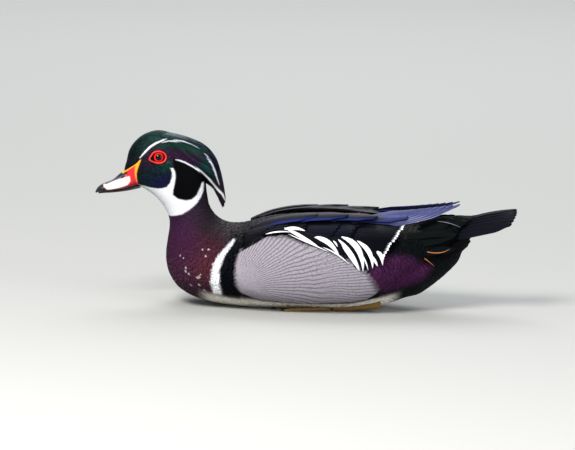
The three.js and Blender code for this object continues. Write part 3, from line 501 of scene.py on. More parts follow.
flank_deep = depth_in(body.x, body.z, FLANK_OUTLINE)
body.flank = flank_deep[..., None]
body.tint = skin_tint()
skin = body.raised(skin_swell(flank_deep) - coat_depth(body.place))
crest_form.tint = head_tint(crest_form.x, crest_form.z)

# Meshes


def put(holder, key, values, kind=np.float32):
    holder.foreach_set(key, np.asarray(values, kind).ravel())


def taken(holder, key, each=1, kind=np.int32):
    values = np.zeros(len(holder) * each, kind)
    holder.foreach_get(key, values)
    return values


def linked(name, data):
    obj = bpy.data.objects.new(name, data)
    bpy.context.scene.collection.objects.link(obj)
    return obj


def make_mesh(name, verts, flat, sizes, *, tint=None, vane=None, uvs=None, hard=None):
    """A mesh object from points in millimetres and faces, given as all their corners and each one's count."""
    mesh = bpy.data.meshes.new(name)
    verts = np.reshape(verts, (-1, 3)) + (CENTRE_X, 0, 0)
    mesh.vertices.add(len(verts))
    mesh.loops.add(len(flat))
    mesh.polygons.add(len(sizes))
    put(mesh.vertices, "co", verts * MM)
    put(mesh.loops, "vertex_index", flat, np.int32)
    put(mesh.polygons, "loop_start", np.cumsum(sizes) - sizes, np.int32)
    mesh.update(calc_edges=True)
    put(mesh.polygons, "use_smooth", np.ones(len(sizes)), bool)
    if tint is not None:
        put(mesh.attributes.new("tint", "FLOAT_COLOR", "POINT").data, "color", np.clip(tint, 0, 1))
    if vane is not None:
        put(mesh.attributes.new("vane", "FLOAT_VECTOR", "POINT").data, "vector", vane)
    if uvs is not None:
        put(mesh.uv_layers.new(name="OFBake").data, "uv", uvs[flat])
    if hard is not None:
        ends = hard.ravel()[taken(mesh.edges, "vertices", 2).reshape(-1, 2)]
        sharp = (ends[:, 0] > 0) & (ends[:, 0] == ends[:, 1])
        put(mesh.attributes.new("sharp_edge", "BOOLEAN", "EDGE").data, "value", sharp, bool)
    return linked(name, mesh)


def finish_piece(obj, material, slot, *nodes):
    obj.data.materials.append(material)
    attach(obj, "root")
    if nodes:
        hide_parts(*nodes)


def quads(rows, size, closed=False):
    """Corners of the quads from ring to ring of corners, and from the last to the first where they close."""
    i, j = np.meshgrid(np.arange(rows if closed else rows - 1), np.arange(size), indexing="ij")
    ahead, k = (i + 1) % rows, (j + 1) % size
    return np.stack([i * size + j, ahead * size + j, ahead * size + k, i * size + k], -1).reshape(-1, 4)


def tube_faces(count, rows, size):
    """Corners and counts of the faces of closed tubes: rings of quads and a cap of quads at each end."""
    base = np.arange(count)[:, None] * rows * size
    groups = [(quads(rows, size)[None] + base[..., None]).reshape(-1, 4)]
    for first, order in ((0, 1), ((rows - 1) * size, -1)):
        low, high = 0, size - 1
        while high - low >= 2:
            cap = [low, low + 1, high] if high - low == 2 else [low, low + 1, high - 1, high]
            groups.append(np.array(cap[::order])[None] + base + first)
            low, high = low + 1, high - 1
    sizes = [np.full(len(group), group.shape[1]) for group in groups]
    return np.concatenate([group.ravel() for group in groups]), np.concatenate(sizes)


def tubes(parts):
    """Points, corners and counts of closed tubes, each part held as tube, row and corner."""
    starts = np.cumsum([0] + [part.size // 3 for part in parts])
    faces = [tube_faces(*part.shape[:3]) for part in parts]
    return (np.concatenate([part.reshape(-1, 3) for part in parts]),
            np.concatenate([flat + start for (flat, _), start in zip(faces, starts)]),
            np.concatenate([sizes for _, sizes in faces]))


def loft_mesh(name, surface, rows, columns, *, low=0, high=None, caps=1):
    """A closed mesh over a sectioned surface between two places, with a fan over each end."""
    places = np.linspace(low, high or surface.high, rows)
    place, girth = np.meshgrid(places, np.arange(columns) * 360 / columns - 180, indexing="ij")
    points, tint = surface.at("points", place, girth), surface.at("tint", place, girth)
    ends = []
    for row, inner in ((0, 1), (-1, -2)):
        middle = points[row].mean(0)
        ends.append(middle + unit(middle - points[inner].mean(0)) * caps)
    verts = np.concatenate([points.reshape(-1, 3), np.array(ends)])
    tints = np.concatenate([tint.reshape(-1, 4), tint[[0, -1]].mean(1)])
    one = np.arange(columns)
    two, base = (one + 1) % columns, (rows - 1) * columns
    first = one * 0 + rows * columns
    around = ((one, two, first), (base + two, base + one, first + 1))
    fans = np.concatenate([np.stack(corners, -1) for corners in around])
    walls = quads(rows, columns)
    sizes = np.repeat([4, 3], [len(walls), len(fans)])
    return make_mesh(name, verts, np.concatenate([walls.ravel(), fans.ravel()]), sizes, tint=tints)


# Feathers

PATCH = 0.0015  # half of a small feather's patch on the bake map
PATCH_MARGIN = 0.01  # how far those patches keep from the map's edge
CELL_MARGIN = 0.04  # and a large feather from the edge of its own cell
BEND_STEP = 0.02  # share of a feather's length over which its direction is read

# Half width at the root and share of the length where it is full, then loss at the tip, where that starts and
# how late it comes
OUTLINES = {
    "hair": (0.45, 0.4, 0.8, 0.5, 1),
    "pointed": (0.5, 0.3, 0.88, 0.45, 1),
    "long": (0.6, 0.35, 0.5, 0.72, 1.5),
    "round": (0.5, 0.45, 0.45, 0.7, 1.8),
}


def half_width(a, kind):
    """Half width along a feather as a share of its most."""
    if kind == "spindle":
        return np.sin(np.pi * (0.04 + 0.93 * a ** 0.85)) ** 0.75
    root, full, loss, start, late = OUTLINES[kind]
    return root + (1 - root) * ramp(a, 0, full) - loss * ramp(a, start, 1) ** late


def ring_of(columns, under):
    """Across places of one ring of corners, which of them are on top, and the two edge corners."""
    across = np.linspace(-1, 1, columns)
    below = across[::-1][1:-1] if under else across[:0]
    top = np.concatenate([np.ones(columns), np.zeros(len(below))])
    edge = np.zeros((len(top), 1), int)
    edge[[0, columns - 1], 0] = 1, 2
    return np.concatenate([across, below]), top, edge


def through(first, middle, last, a):
    """Smooth values at shares a of the way through three given ones."""
    first, middle, last = (np.asarray(v, float)[:, None, None, :] for v in (first, middle, last))
    t = a[..., None]
    return first * (1 - t) * (1 - 2 * t) + middle * 4 * t * (1 - t) + last * t * (2 * t - 1)


def feathers(given, width, rows, columns, *, surface=None, face=None, kind="long", under=True, camber=0.08,
             roll=0, thick=0.35, shaft=0.3, rounded=0.5, dense=1, clamp=None):
    """Feathers as closed flat tubes, from the root, middle and tip of each.

    On a surface those are place, girth and lift. In the open they are points, and the feathers turn to face.
    The rows crowd towards the tips where dense is over 1. Gives points, shares along and across, edge
    corners, and the place and girth of each corner."""
    root, _, tip = given
    across, top, edge = ring_of(columns, under)
    shape = (len(root), rows, len(across))
    b = np.broadcast_to(across, shape)
    ends = [surface.at("points", end[:, 0], end[:, 1]) if surface else end for end in (root, tip)]
    length = np.linalg.norm(ends[1] - ends[0], axis=-1)[:, None, None]
    half = (width / 2)[:, None, None]
    even = 1 - np.linspace(1, 0, rows)[None, :, None] ** dense
    a = np.clip(even - rounded * half / np.maximum(length, 0.1) * b ** 2 * ramp(even, 0.45, 1), 0, 1)
    centre = through(*given, a)
    change = through(*given, a + BEND_STEP) - through(*given, a - BEND_STEP)
    reach = (half * half_width(even, kind) * b)[..., None]
    lift = camber * half * (1 - b ** 2) * top + np.reshape(roll, (-1, 1, 1)) * b * half
    lift = lift + shaft * np.exp(-(b / 0.12) ** 2) * top * (1 - 0.7 * a) - thick * (1 - top)
    spots = None
    if surface:
        by_along, by_across, _ = surface.steps(centre[..., 0], centre[..., 1])
        u, v = change[..., 0], change[..., 1]
        (p, q), (r, s) = (np.moveaxis(way, -1, 0) for way in (by_along, by_across))
        det = p * s - q * r
        u, v = (u * s - v * r) / det, (p * v - q * u) / det
        size = np.hypot(u, v) + 1e-9
        aside = by_across * (u / size)[..., None] - by_along * (v / size)[..., None]
        spots = np.moveaxis(centre[..., :2] + aside * reach, -1, 0)
        lift = centre[..., 2] + lift
        if clamp:
            lift = clamp(*spots, lift)
        points = surface.at("points", *spots) + surface.at("normals", *spots) * lift[..., None]
    else:
        along = unit(change)
        aside = unit(np.cross(np.broadcast_to(face[:, None, None, :], centre.shape), along))
        points = centre + aside * reach + np.cross(along, aside) * lift[..., None]
    return points, np.broadcast_to(even, shape), b, np.broadcast_to(edge, (*shape, 1)), spots


def vane_values(a, b, rng):
    return np.stack([a, b, np.broadcast_to(rng.random(len(a))[:, None, None], a.shape)], -1)


def coloured(made, colours, rng):
    """A group of feathers, coloured by a function of the shares along and across."""
    points, a, b, edge, _ = made
    return points, colours(a, b), vane_values(a, b, rng), edge


def patches(u, v, a, b):
    """Corners of a small patch for each feather about its root's place on the bake map, from 0 to 1."""
    u, v = (PATCH_MARGIN + (1 - 2 * PATCH_MARGIN) * np.clip(k, 0, 1)[:, None, None] for k in (u, v))
    return np.stack([u + (2 * a - 1) * PATCH, v + b * PATCH], -1).reshape(-1, 2)


def cells(first, total, vane):
    """A square cell of the bake map for each of some feathers, from the first on, of a total."""
    wide = math.ceil(math.sqrt(total))
    at = (first + np.arange(len(vane)))[:, None, None]
    u = at % wide + CELL_MARGIN + (1 - 2 * CELL_MARGIN) * vane[..., 0]
    v = at // wide + 0.5 + (0.5 - CELL_MARGIN) * vane[..., 1]
    return (np.stack([u, v], -1) / wide).reshape(-1, 2)


def vane_piece(name, material, slot, nodes, groups, uvs=None):
    """One piece from groups of feathers: the points, tint, vane values and edge corners of each."""
    starts = np.cumsum([0] + [len(group[0]) for group in groups])
    if uvs is None:
        uvs = np.concatenate([cells(first, starts[-1], group[2]) for first, group in zip(starts, groups)])
    points, *held = zip(*groups)
    tint, vane, hard = (
        np.concatenate([part.reshape(-1, part.shape[-1]) for part in parts]) for parts in held)
    obj = make_mesh(name, *tubes(points), tint=tint, vane=vane, uvs=uvs, hard=hard)
    finish_piece(obj, material, slot, *nodes)


# Materials


class Nodes:
    """A material's nodes, made and linked in short lines."""

    def __init__(self, name):
        self.material = bpy.data.materials.new(name)
        self.material.use_nodes = True
        self.tree = self.material.node_tree
        self.shader = self.tree.nodes["Principled BSDF"]

    def add(self, kind, *given, **values):
        """A node with its properties and its first sockets set."""
        node = self.tree.nodes.new(kind)
        for key, value in values.items():
            setattr(node, key, value)
        for socket, value in zip(node.inputs, given):
            self.put(socket, value)
        return node

    def put(self, socket, value):
        if isinstance(value, bpy.types.NodeSocket):
            self.tree.links.new(value, socket)
        else:
            socket.default_value = value

    def math(self, operation, *given):
        return self.add("ShaderNodeMath", *given, operation=operation).outputs[0]

    def share(self, value, low, high):
        """0 to 1 as a value goes from low to high."""
        return self.add("ShaderNodeMapRange", value, low, high).outputs[0]

    def place(self):
        return self.add("ShaderNodeTexCoord").outputs["Object"]

    def noise(self, scale):
        node = self.add("ShaderNodeTexNoise", self.place())
        node.inputs["Scale"].default_value = scale
        return node.outputs[0]

    def mix(self, share, first, second, blend="MIX"):
        node = self.add("ShaderNodeMix", data_type="RGBA", blend_type=blend)
        for k, value in ((0, share), (6, first), (7, second)):
            self.put(node.inputs[k], value)
        return node.outputs[2]

    def shaded(self, tint, shade):
        """The colour of a tint, made lighter or darker by a number."""
        grey = self.add("ShaderNodeCombineColor", shade, shade, shade)
        return self.mix(1, tint.outputs["Color"], grey.outputs[0], "MULTIPLY")

    def set(self, **values):
        for key, value in values.items():
            self.put(self.shader.inputs[key.replace("_", " ")], value)

    def bump(self, height, strength, distance):
        node = self.add("ShaderNodeBump")
        for key, value in (("Strength", strength), ("Distance", distance), ("Height", height)):
            self.put(node.inputs[key], value)
        self.set(Normal=node.outputs["Normal"])


FAN_CENTRE = (-78, 26)  # where the flank's fine lines would meet, x and z
FAN_COUNT = 120
FAN_FINER = 2.2
FAN_BARE = (0.010, 0.036)  # distances from the centre at which the lines begin and are full
FAN_SPLIT = (0.086, 0.112)  # and between which the finer ones take over
FAN_SWAY = 9
FAN_NOISE = 45
LINE_DARK = 0.55
BARB_SLANT = 0.4
BARB_DEPTH = 0.0002
GRAIN_DEPTH = 0.0003


def flank_lines(made):
    """Fine wavy dark lines that fan out over the flank and are finer further back."""
    x, _, z = made.add("ShaderNodeSeparateXYZ", made.place()).outputs
    x = made.math("SUBTRACT", x, (FAN_CENTRE[0] + CENTRE_X) * MM)
    z = made.math("SUBTRACT", z, FAN_CENTRE[1] * MM)
    sway = made.math("MULTIPLY", made.noise(FAN_NOISE), FAN_SWAY)
    turn = made.math("ARCTAN2", z, x)
    away = made.math("SQRT", made.math("MULTIPLY_ADD", x, x, made.math("MULTIPLY", z, z)))
    kinds = []
    for count in (FAN_COUNT, FAN_COUNT * FAN_FINER):
        wave = made.math("SINE", made.math("MULTIPLY_ADD", turn, count, sway))
        kinds.append(made.math("POWER", made.math("MULTIPLY_ADD", wave, 0.5, 0.5), 3))
    wide, fine = kinds
    lines = made.math("MULTIPLY_ADD", made.math("SUBTRACT", fine, wide), made.share(away, *FAN_SPLIT), wide)
    return made.math("MULTIPLY_ADD", made.math("MULTIPLY", lines, made.share(away, *FAN_BARE)), -LINE_DARK, 1)


def feather_material(name, roughness, *, metal=0.5, specular=0.03, barbs=90, strength=0.25, edge=0, vary=0.3,
                     glint=0, lines=False):
    """Feathers: colour from tint, gloss from its sheen, and fine barbs slanting back from the shaft.

    vary is how much feathers differ in brightness, and glint how much a few stand out brighter as painted
    glints."""
    made = Nodes(name)
    tint, vane = (made.add("ShaderNodeAttribute", attribute_name=key) for key in ("tint", "vane"))
    a, b, chance = made.add("ShaderNodeSeparateXYZ", vane.outputs["Vector"]).outputs
    away = made.math("ABSOLUTE", b)
    change = made.math("MULTIPLY_ADD", chance, vary, -vary / 2)
    if glint:
        # painted glints: the few feathers with the highest chance are made much brighter, as far as the tint
        # has sheen
        rare = made.math("POWER", chance, 3)
        change = made.math("ADD", change, made.math("MULTIPLY_ADD", rare, glint, -glint / 4))
        change = made.math("MULTIPLY", change, tint.outputs["Alpha"])
    shade = made.math("ADD", change, 1)
    if edge:
        shade = made.math("MULTIPLY", shade, made.math("MULTIPLY_ADD", made.math("POWER", away, 4), -edge, 1))
    if lines:
        shade = made.math("MULTIPLY", shade, flank_lines(made))
    else:
        slanted = made.math("MULTIPLY_ADD", away, -BARB_SLANT, a)
        wave = made.math("SINE", made.math("MULTIPLY", slanted, barbs))
        shade = made.math("MULTIPLY", shade, made.math("MULTIPLY_ADD", wave, 0.06, 1))
        made.bump(wave, strength, BARB_DEPTH)
    made.set(Base_Color=made.shaded(tint, shade), Roughness=roughness, Specular_IOR_Level=specular,
             Metallic=made.math("MULTIPLY", tint.outputs["Alpha"], metal))
    return made.material


def grained_material(name, roughness, scale, colour=None, *, specular=0.4, gloss=0, bump=0, metal=0):
    """A surface with a fine grain, of one colour or with its colour from tint."""
    made = Nodes(name)
    noise = made.noise(scale)
    if colour:
        base = made.mix(noise, *[tuple(np.append(rgb(colour) * k, 1)) for k in (0.8, 1.1)])
    else:
        tint = made.add("ShaderNodeAttribute", attribute_name="tint")
        base = made.shaded(tint, made.math("MULTIPLY_ADD", noise, 0.3, 0.85))
    made.set(Base_Color=base, Roughness=roughness, Specular_IOR_Level=specular, Coat_Weight=gloss)
    if metal:
        made.set(Metallic=made.math("MULTIPLY", tint.outputs["Alpha"], metal))
    if bump:
        made.bump(noise, bump, GRAIN_DEPTH)
    return made.material


silk = feather_material("silk", 0.38, metal=0.6, barbs=40, strength=0.15, vary=0.45, glint=1)
down = feather_material("down", 0.55, metal=0.4, barbs=50, strength=0.2, edge=0.15)
scaled = feather_material("scaled", 0.6, metal=0.3, specular=0.02, barbs=60, edge=0.3)
flank_down = feather_material("flank_down", 0.65, vary=0.04, lines=True)
vane_gloss = feather_material("vane_gloss", 0.42, metal=0.35, barbs=110, edge=0.15, vary=0.2, strength=0.12)
vane_plain = feather_material("vane_plain", 0.6, metal=0.2, specular=0.02, barbs=110, edge=0.05, vary=0.12,
                              strength=0.12)
skin_cover = grained_material("skin_cover", 0.6, 1500, specular=0.06, bump=0.4, metal=0.3)
horn = grained_material("horn", 0.38, 1500, gloss=0.12, bump=0.05)
eyeball = grained_material("eyeball", 0.05, 3000, specular=0.22)
lid_skin = grained_material("lid_skin", 0.45, 900, "c41c16", gloss=0.1, bump=0.3)
leg_skin = grained_material("leg_skin", 0.5, 700, "7a5c2a", bump=0.4)
web_skin = grained_material("web_skin", 0.6, 700, "2a241c", bump=0.4)
claw_horn = grained_material("claw_horn", 0.35, 900, "1b1815")

finish_piece(loft_mesh("skin", skin, 251, 120), skin_cover, "body_feathers", "head", "neck", "torso")

# The coat

EYE_BARE = (8.4, 6.9)  # half sizes of the bare place round the eye
COAT_ROWS = 5
COAT_LIFTS = ((0, -0.35), (0.5, 0.6), (1, 1))  # shares of a feather's length, and of the depth reached there
ROOT_SHIFT = 0.15  # how far roots stray, as a share of the steps between them
TRACK_POINTS = 300  # points by which a line of feathers is measured
FLECK_CHANCE = 0.955
SHIELD = [
    (-190.5, 129.5), (-186.8, 132.4), (-178.2, 139.6), (-172.4, 146), (-174.6, 138), (-176.4, 130),
    (-175.8, 124), (-173.6, 119.4), (-186, 112),
]


def coat(name, material, slot, nodes, spans, gap, rng, *, overlap=1.6, reach=2.6, kind="round", depth=1,
         turn=6, keep=None, recolour=None, sweep=None, camber=0.12):
    """Small feathers over part of the skin.

    Each span is place from and to, girth from and to, and how many lines of feathers between those girths.
    gap is the millimetres from root to root along a line. Of the feathers, keep leaves out those not wanted,
    sweep turns them in degrees and recolour changes their tint."""
    parts = []
    for low, high, girth_from, girth_to, lines in spans:
        spread = abs(girth_to - girth_from) / (lines - 1)
        fine = np.linspace(low, high, TRACK_POINTS)
        for k, girth in enumerate(np.linspace(girth_from, girth_to, lines)):
            track = skin.at("points", fine, np.full(TRACK_POINTS, girth))
            length = np.concatenate([[0], np.cumsum(np.linalg.norm(np.diff(track, axis=0), axis=1))])
            count = int(length[-1] / gap)
            at = (np.arange(count) + 0.5 * (k % 2) + rng.uniform(-ROOT_SHIFT, ROOT_SHIFT, count)) * gap
            where = np.interp(at, length, fine)
            around = girth + rng.uniform(-ROOT_SHIFT, ROOT_SHIFT, count) * spread
            parts.append(np.stack([where, around, where * 0 + spread], -1))
    place, girth, spread = np.concatenate(parts).T
    along, across, by_degree = skin.steps(place, girth)
    count = len(place)
    width = np.clip(by_degree * spread * overlap, gap * 0.3, gap * 2.2) * rng.uniform(0.85, 1.15, count)
    long = gap * reach * rng.uniform(0.85, 1.15, count)
    angle = np.radians(rng.normal(0, turn, count))
    if sweep:
        angle = angle + np.radians(sweep(*skin.at("side", place, girth).T, girth))
    step = along * np.cos(angle)[:, None] + across * np.sin(angle)[:, None]
    high = depth(place) if callable(depth) else np.full(count, depth)
    roots = np.stack([place, girth], -1)
    given = [np.concatenate([roots + step * (long * share)[:, None], (high * lift)[:, None]], -1)
             for share, lift in COAT_LIFTS]
    if keep:
        wanted = np.all([keep(*skin.at("side", *end[:, :2].T).T) for end in given], 0)
        given, width = [end[wanted] for end in given], width[wanted]
    made = feathers(given, width, COAT_ROWS, 3, surface=skin, kind=kind, under=False, camber=camber, shaft=0)
    points, a, b, edge, spots = made
    points[..., 2] = np.maximum(points[..., 2], REST_GAP)
    vane = vane_values(a, b, rng)
    tint = skin.at("tint", *spots)
    if recolour:
        tint = recolour(tint, *np.moveaxis(skin.at("side", *spots), -1, 0), vane)
    place, girth, _ = given[0].T
    uvs = patches((place - place.min()) / (place.max() - place.min()), (girth + 180) / 360, a, b)
    vane_piece("coat_" + name, material, slot, nodes, [(points, tint, vane, edge)], uvs)


def head_keep(x, z):
    """Leaves the eye and the bill's shield bare."""
    eye = ((x - EYE["x"]) / EYE_BARE[0]) ** 2 + ((z - EYE["z"]) / EYE_BARE[1]) ** 2 > 1
    return eye & (depth_in(x, z, SHIELD) < -0.3)


def face_sweep(x, z, girth):
    """Turns the face's feathers to run back past the eye, away from the bill's upright base."""
    return np.sign(girth) * 22 * np.exp(-((x + 166) / 9) ** 2 - ((z - 142) / 12) ** 2)


def flank_sweep(x, z, girth):
    """Turns the flank's feathers to follow its fan of lines."""
    rise = np.degrees(np.arctan2(z - FAN_CENTRE[1], np.maximum(x - FAN_CENTRE[0], 4)))
    return -np.sign(girth) * np.clip(rise, -20, 58)


def on_flank(x, z):
    return depth_in(x, z, FLANK_TAN) > -0.5


def off_flank(x, z):
    return ~on_flank(x, z)


def flecked(tint, x, z, vane):
    """Pale flecks on the ends of a few of the breast's feathers."""
    chosen = (vane[..., 2] > FLECK_CHANCE) * (x < -98) * (x > -146) * (z < 62) * (z > 16)
    fleck = ramp(vane[..., 0], 0.55, 0.9) * (1 - np.abs(vane[..., 1])) ** 0.7
    return paint(tint, fleck * chosen, rgb("c4b8b4"), 0)


def scaly(tint, x, z, vane):
    """Back feathers, each a little paler towards its edge."""
    rim = ramp(np.abs(vane[..., 1]) + 0.6 * vane[..., 0], 0.9, 1.5) * 0.35
    return paint(tint, rim, rgb("4a3f38"), 0.2)


HEAD_LIE = {"kind": "hair", "depth": HEAD_COAT, "turn": 4, "keep": head_keep, "sweep": face_sweep,
            "overlap": 1.7}
FLANK_LIE = {"kind": "pointed", "depth": 0.3, "turn": 2, "keep": on_flank, "sweep": flank_sweep,
             "overlap": 2.2, "camber": 0.08, "reach": 4.2}
NECK_LIE = {"kind": "hair", "depth": lambda place: coat_depth(place) * 1.05}
BREAST_LIE = {"depth": 1.25, "turn": 7, "keep": off_flank, "recolour": flecked}
BACK_LIE = {"depth": 1.2, "turn": 5, "reach": 2.9, "recolour": scaly}
REAR_LIE = {"depth": 1.2, "keep": off_flank}

# Name, material, slot, nodes replaced, spans, gap and lie
COATS = [
    ("crown", silk, "head_feathers", [], [(0.05, 9.4, -78, 78, 96)], 1.6, HEAD_LIE),
    ("face_left", silk, "head_feathers", [], [(0.05, 9.4, -180, -80, 58)], 1.5, HEAD_LIE),
    ("face_right", silk, "head_feathers", [], [(0.05, 9.4, 80, 180, 58)], 1.5, HEAD_LIE),
    ("neck", down, "head_feathers", [], [(8.8, 13, -180, 177, 120)], 2.2, NECK_LIE),
    ("breast", down, "breast_feathers", [], [(12.4, 17.6, -180, 176.4, 100)], 3.1, BREAST_LIE),
    ("back", scaled, "body_feathers", [], [(13, 22.6, -42, 42, 13)], 4.6, BACK_LIE),
    ("flank_left", flank_down, "flank_feathers", ["flank_left"], [(12.7, 22, -132, -40, 60)], 2.6, FLANK_LIE),
    ("flank_right", flank_down, "flank_feathers", ["flank_right"], [(12.7, 22, 40, 132, 60)], 2.6, FLANK_LIE),
    ("belly", down, "body_feathers", [], [(15, 22.4, -180, -112, 24), (15, 22.4, 112, 177, 24)], 4.4,
     {"keep": off_flank}),
    ("rump", scaled, "rump_feathers", ["rump"], [(20.4, 24.7, -106, 106, 56)], 3.4, REAR_LIE),
    ("undertail", down, "rump_feathers", ["undertail"],
     [(21.4, 24.7, -180, -104, 26), (21.4, 24.7, 104, 177, 26)], 3.4, REAR_LIE),
]
for order, (*given, lie) in enumerate(COATS, 1):
    coat(*given, np.random.default_rng(SEED + order), **lie)

# The crest

crest_bed = crest_form.raised(np.full(crest_form.place.shape, -0.9))
CREST_TIERS = 11
CREST_STEP = 0.58  # sections from tier to tier
CREST_LONG = 2.3
CREST_SPREAD = ([0, 1.5, 3, 5], [52, 88, 122, 168])  # a tier's place, and how far round it reaches
CREST_COUNTS = ([0, 2, 4, 6], [21, 27, 27, 17])  # a tier's place, and how many feathers it has
CREST_WIDTHS = (1.8, 4.4)
CREST_OVERLAP = 1.9
CREST_LIFTS = (-1.3, 0.2, 0.55)  # of roots, middles and tips


def crest():
    rng = np.random.default_rng(SEED + 20)
    finish_piece(loft_mesh("crest_bed", crest_bed, 80, 72, low=0.6, caps=0.3), skin_cover, "crest_feathers")
    groups = []
    for tier in range(CREST_TIERS):
        start = 0.1 + CREST_STEP * tier
        most = np.interp(start, *CREST_SPREAD)
        count = int(np.interp(start, *CREST_COUNTS))
        girth = np.linspace(-most, most, count) + rng.uniform(-1.5, 1.5, count)
        low = start + rng.uniform(-0.12, 0.12, count)
        high = low + CREST_LONG + rng.uniform(-0.25, 0.25, count)
        high = np.minimum(high, CREST_END - rng.uniform(0, 0.25, count))
        by_degree = crest_form.steps((low + high) / 2, girth)[2]
        width = np.clip(by_degree * (2 * most / (count - 1)) * CREST_OVERLAP, *CREST_WIDTHS)
        fall = girth * (1 + rng.uniform(-0.04, 0.04, count))
        places, girths = (low, (low + high) / 2, high), (girth, (girth + fall) / 2, fall)
        given = [np.stack([place, around, np.full(count, lift)], -1)
                 for place, around, lift in zip(places, girths, CREST_LIFTS)]
        made = feathers(given, width, 12, 5, surface=crest_form, kind="pointed", camber=0.16,
                        roll=rng.uniform(-0.06, 0.06, count), shaft=0, rounded=1.2)
        groups.append(coloured(made, lambda a, b: crest_form.at("tint", *made[4]), rng))
    vane_piece("crest_feathers", silk, "crest_feathers", ["crest"], groups)


# The wings

TIP_FROM = 0.966
TIP_SOFT = 0.006
RIM_SOFT = 0.15
RIM_SHEEN = 0.2
WING_STRAY = (0.03, 0.5)  # how far middles and tips stray in place and girth
FLANK_CAP = ([-7, -3, 0, 3, 6], [30, 6.5, 3, 0.5, -1])  # depth in the flank, and the most lift there


def between(first, last, count):
    """Even steps from one row of values to another."""
    first, last = np.array(first, float), np.array(last, float)
    return first + (last - first) * np.linspace(0, 1, count)[:, None]


def under_flank(place, girth, lift):
    """Wing feathers tuck in under the flank's upper edge."""
    deep = body.at("flank", place, girth)[..., 0]
    return np.minimum(lift, np.interp(deep, *FLANK_CAP))


def vane_tint(base, a, b, side, *, rim=None, rim_from=0.4, rim_wide=0.35, tip=None, ends=None, gloss=0.4):
    """Tints of a row of feathers: base, rim on the lower edge, tip, and the ends of the first ones."""
    tint = np.broadcast_to(np.append(base, gloss), (*a.shape, 4))
    if rim is not None:
        share = ramp(b * side, 1 - 2 * rim_wide, 1 - rim_wide)
        tint = paint(tint, share * ramp(a, rim_from - RIM_SOFT, rim_from + RIM_SOFT), rim, RIM_SHEEN)
    if tip is not None:
        tint = paint(tint, ramp(a, TIP_FROM - TIP_SOFT, TIP_FROM + TIP_SOFT), tip, 0)
    if ends is not None:
        order = np.linspace(0, 1, len(a))[:, None, None]
        tint = paint(tint, ramp(a, 0.5, 0.75) * ramp(order, 0.3, 0), ends, RIM_SHEEN)
    return tint


SECONDARY = {"base": rgb("06070d"), "tip": WHITE}
COVERT = {"base": rgb("07080e"), "rim": rgb("0a0e22"), "rim_from": 0.3, "rim_wide": 0.2}
INNER = {"base": TERTIAL_BLACK, "gloss": 0.3}
TERTIAL = INNER | {"rim": rgb("242c66"), "rim_from": 0.3, "rim_wide": 0.16, "ends": GREY_BLUE}
PRIMARY = {"base": rgb("3a3e66"), "rim": rgb("8f90ac"), "rim_from": 0.5, "rim_wide": 0.05, "gloss": 0.2}
SCAPULAR = {"base": WING_BLACK}
LONG_VANES = {"kind": "long", "rounded": 0.9, "clamp": None, "rows": 18, "roll": 0, "camber": 0.2}
WING_SHAPE = {"rows": 14, "columns": 9, "kind": "round", "roll": 0.14, "clamp": under_flank, "shaft": 0.25,
              "camber": 0.1}
# Count, width and tint of each row, x, girth and lift of the root, middle and tip of its first and last
# feather, and what else its shape has
WING_ROWS = [
    (14, 10, SECONDARY,
     ((18, 30, 0.8), (2, 72, 0.8), (56, 30, 6.6), (38, 72, 4.8), (94, 31, 11), (72.5, 74, 6.6)),
     {"rows": 22, "kind": "long", "rounded": 0.12, "shaft": 0.3, "dense": 1.7}),
    (8, 11.5, COVERT,
     ((-4, 34, 1.4), (-14, 66, 1.2), (24, 34, 5.4), (10, 66, 4.4), (50, 34, 7), (34, 66, 6)), {}),
    (8, 11.5, COVERT,
     ((-20, 33, 1.2), (-28, 66, 1.2), (8, 34, 4.8), (-6, 64, 4.2), (32, 34, 6.6), (18, 64, 5.6)), {}),
    (6, 15, INNER,
     ((4, 18, 1.2), (-50, 21, 0.8), (46, 15, 6.4), (-14, 20, 5), (86, 13, 9.4), (20, 19, 7)), LONG_VANES),
    (4, 17, TERTIAL,
     ((26, 22, 2.4), (-58, 30, 1.2), (62, 20, 9.4), (-26, 28, 6.6), (96, 27, 16.2), (8, 26, 8.8)),
     LONG_VANES | {"rows": 20, "columns": 11, "roll": 0.02, "shaft": 0.4, "camber": 0.24}),
    (7, 12.5, SCAPULAR,
     ((-44, 36, 1), (-46, 66, 1), (-26, 34, 4), (-26, 62, 3.6), (-2, 33, 5.6), (-2, 60, 5.2)), {}),
    (7, 12.5, SCAPULAR,
     ((-54, 37, 1), (-56, 66, 1), (-38, 35, 4), (-38, 60, 3.6), (-18, 33, 5.6), (-18, 58, 5.2)), {}),
    (7, 12.5, SCAPULAR,
     ((-64, 38, 0.6), (-66, 66, 0.6), (-50, 36, 3.4), (-50, 60, 3), (-32, 34, 5), (-34, 56, 4.6)), {}),
]


def wing(word):
    side = SIDES[word]
    rng = np.random.default_rng(SEED + 30 + side)
    groups = []
    for count, width, tint, ends, more in WING_ROWS:
        shape = WING_SHAPE | more
        shape["roll"] *= side
        given = []
        for k in (0, 2, 4):
            x, girth, lift = between(ends[k], ends[k + 1], count).T
            given.append(np.stack([place_at(x, girth), girth * side, lift], -1))
        for spots in given[1:]:
            spots[:, :2] += rng.uniform(-1, 1, (count, 2)) * WING_STRAY
        made = feathers(given, np.full(count, width), surface=body, thick=0.4, **shape)
        groups.append(coloured(made, lambda a, b: vane_tint(a=a, b=b, side=side, **tint), rng))
    groups.append(primaries(side, rng))
    vane_piece("wing_feathers_" + word, vane_gloss, "wing_feathers", ["wing_" + word], groups)


PRIMARY_COUNT = 7
PRIMARY_WIDTH = 11
PRIMARY_LINES = [((34, 37, 86), (48, 30, 89)), ((96, 28.5, 92.5), (72, 22, 96)),
                 ((150, 10.5, 108.6), (108, 15, 102.5))]  # first and last root, middle and tip


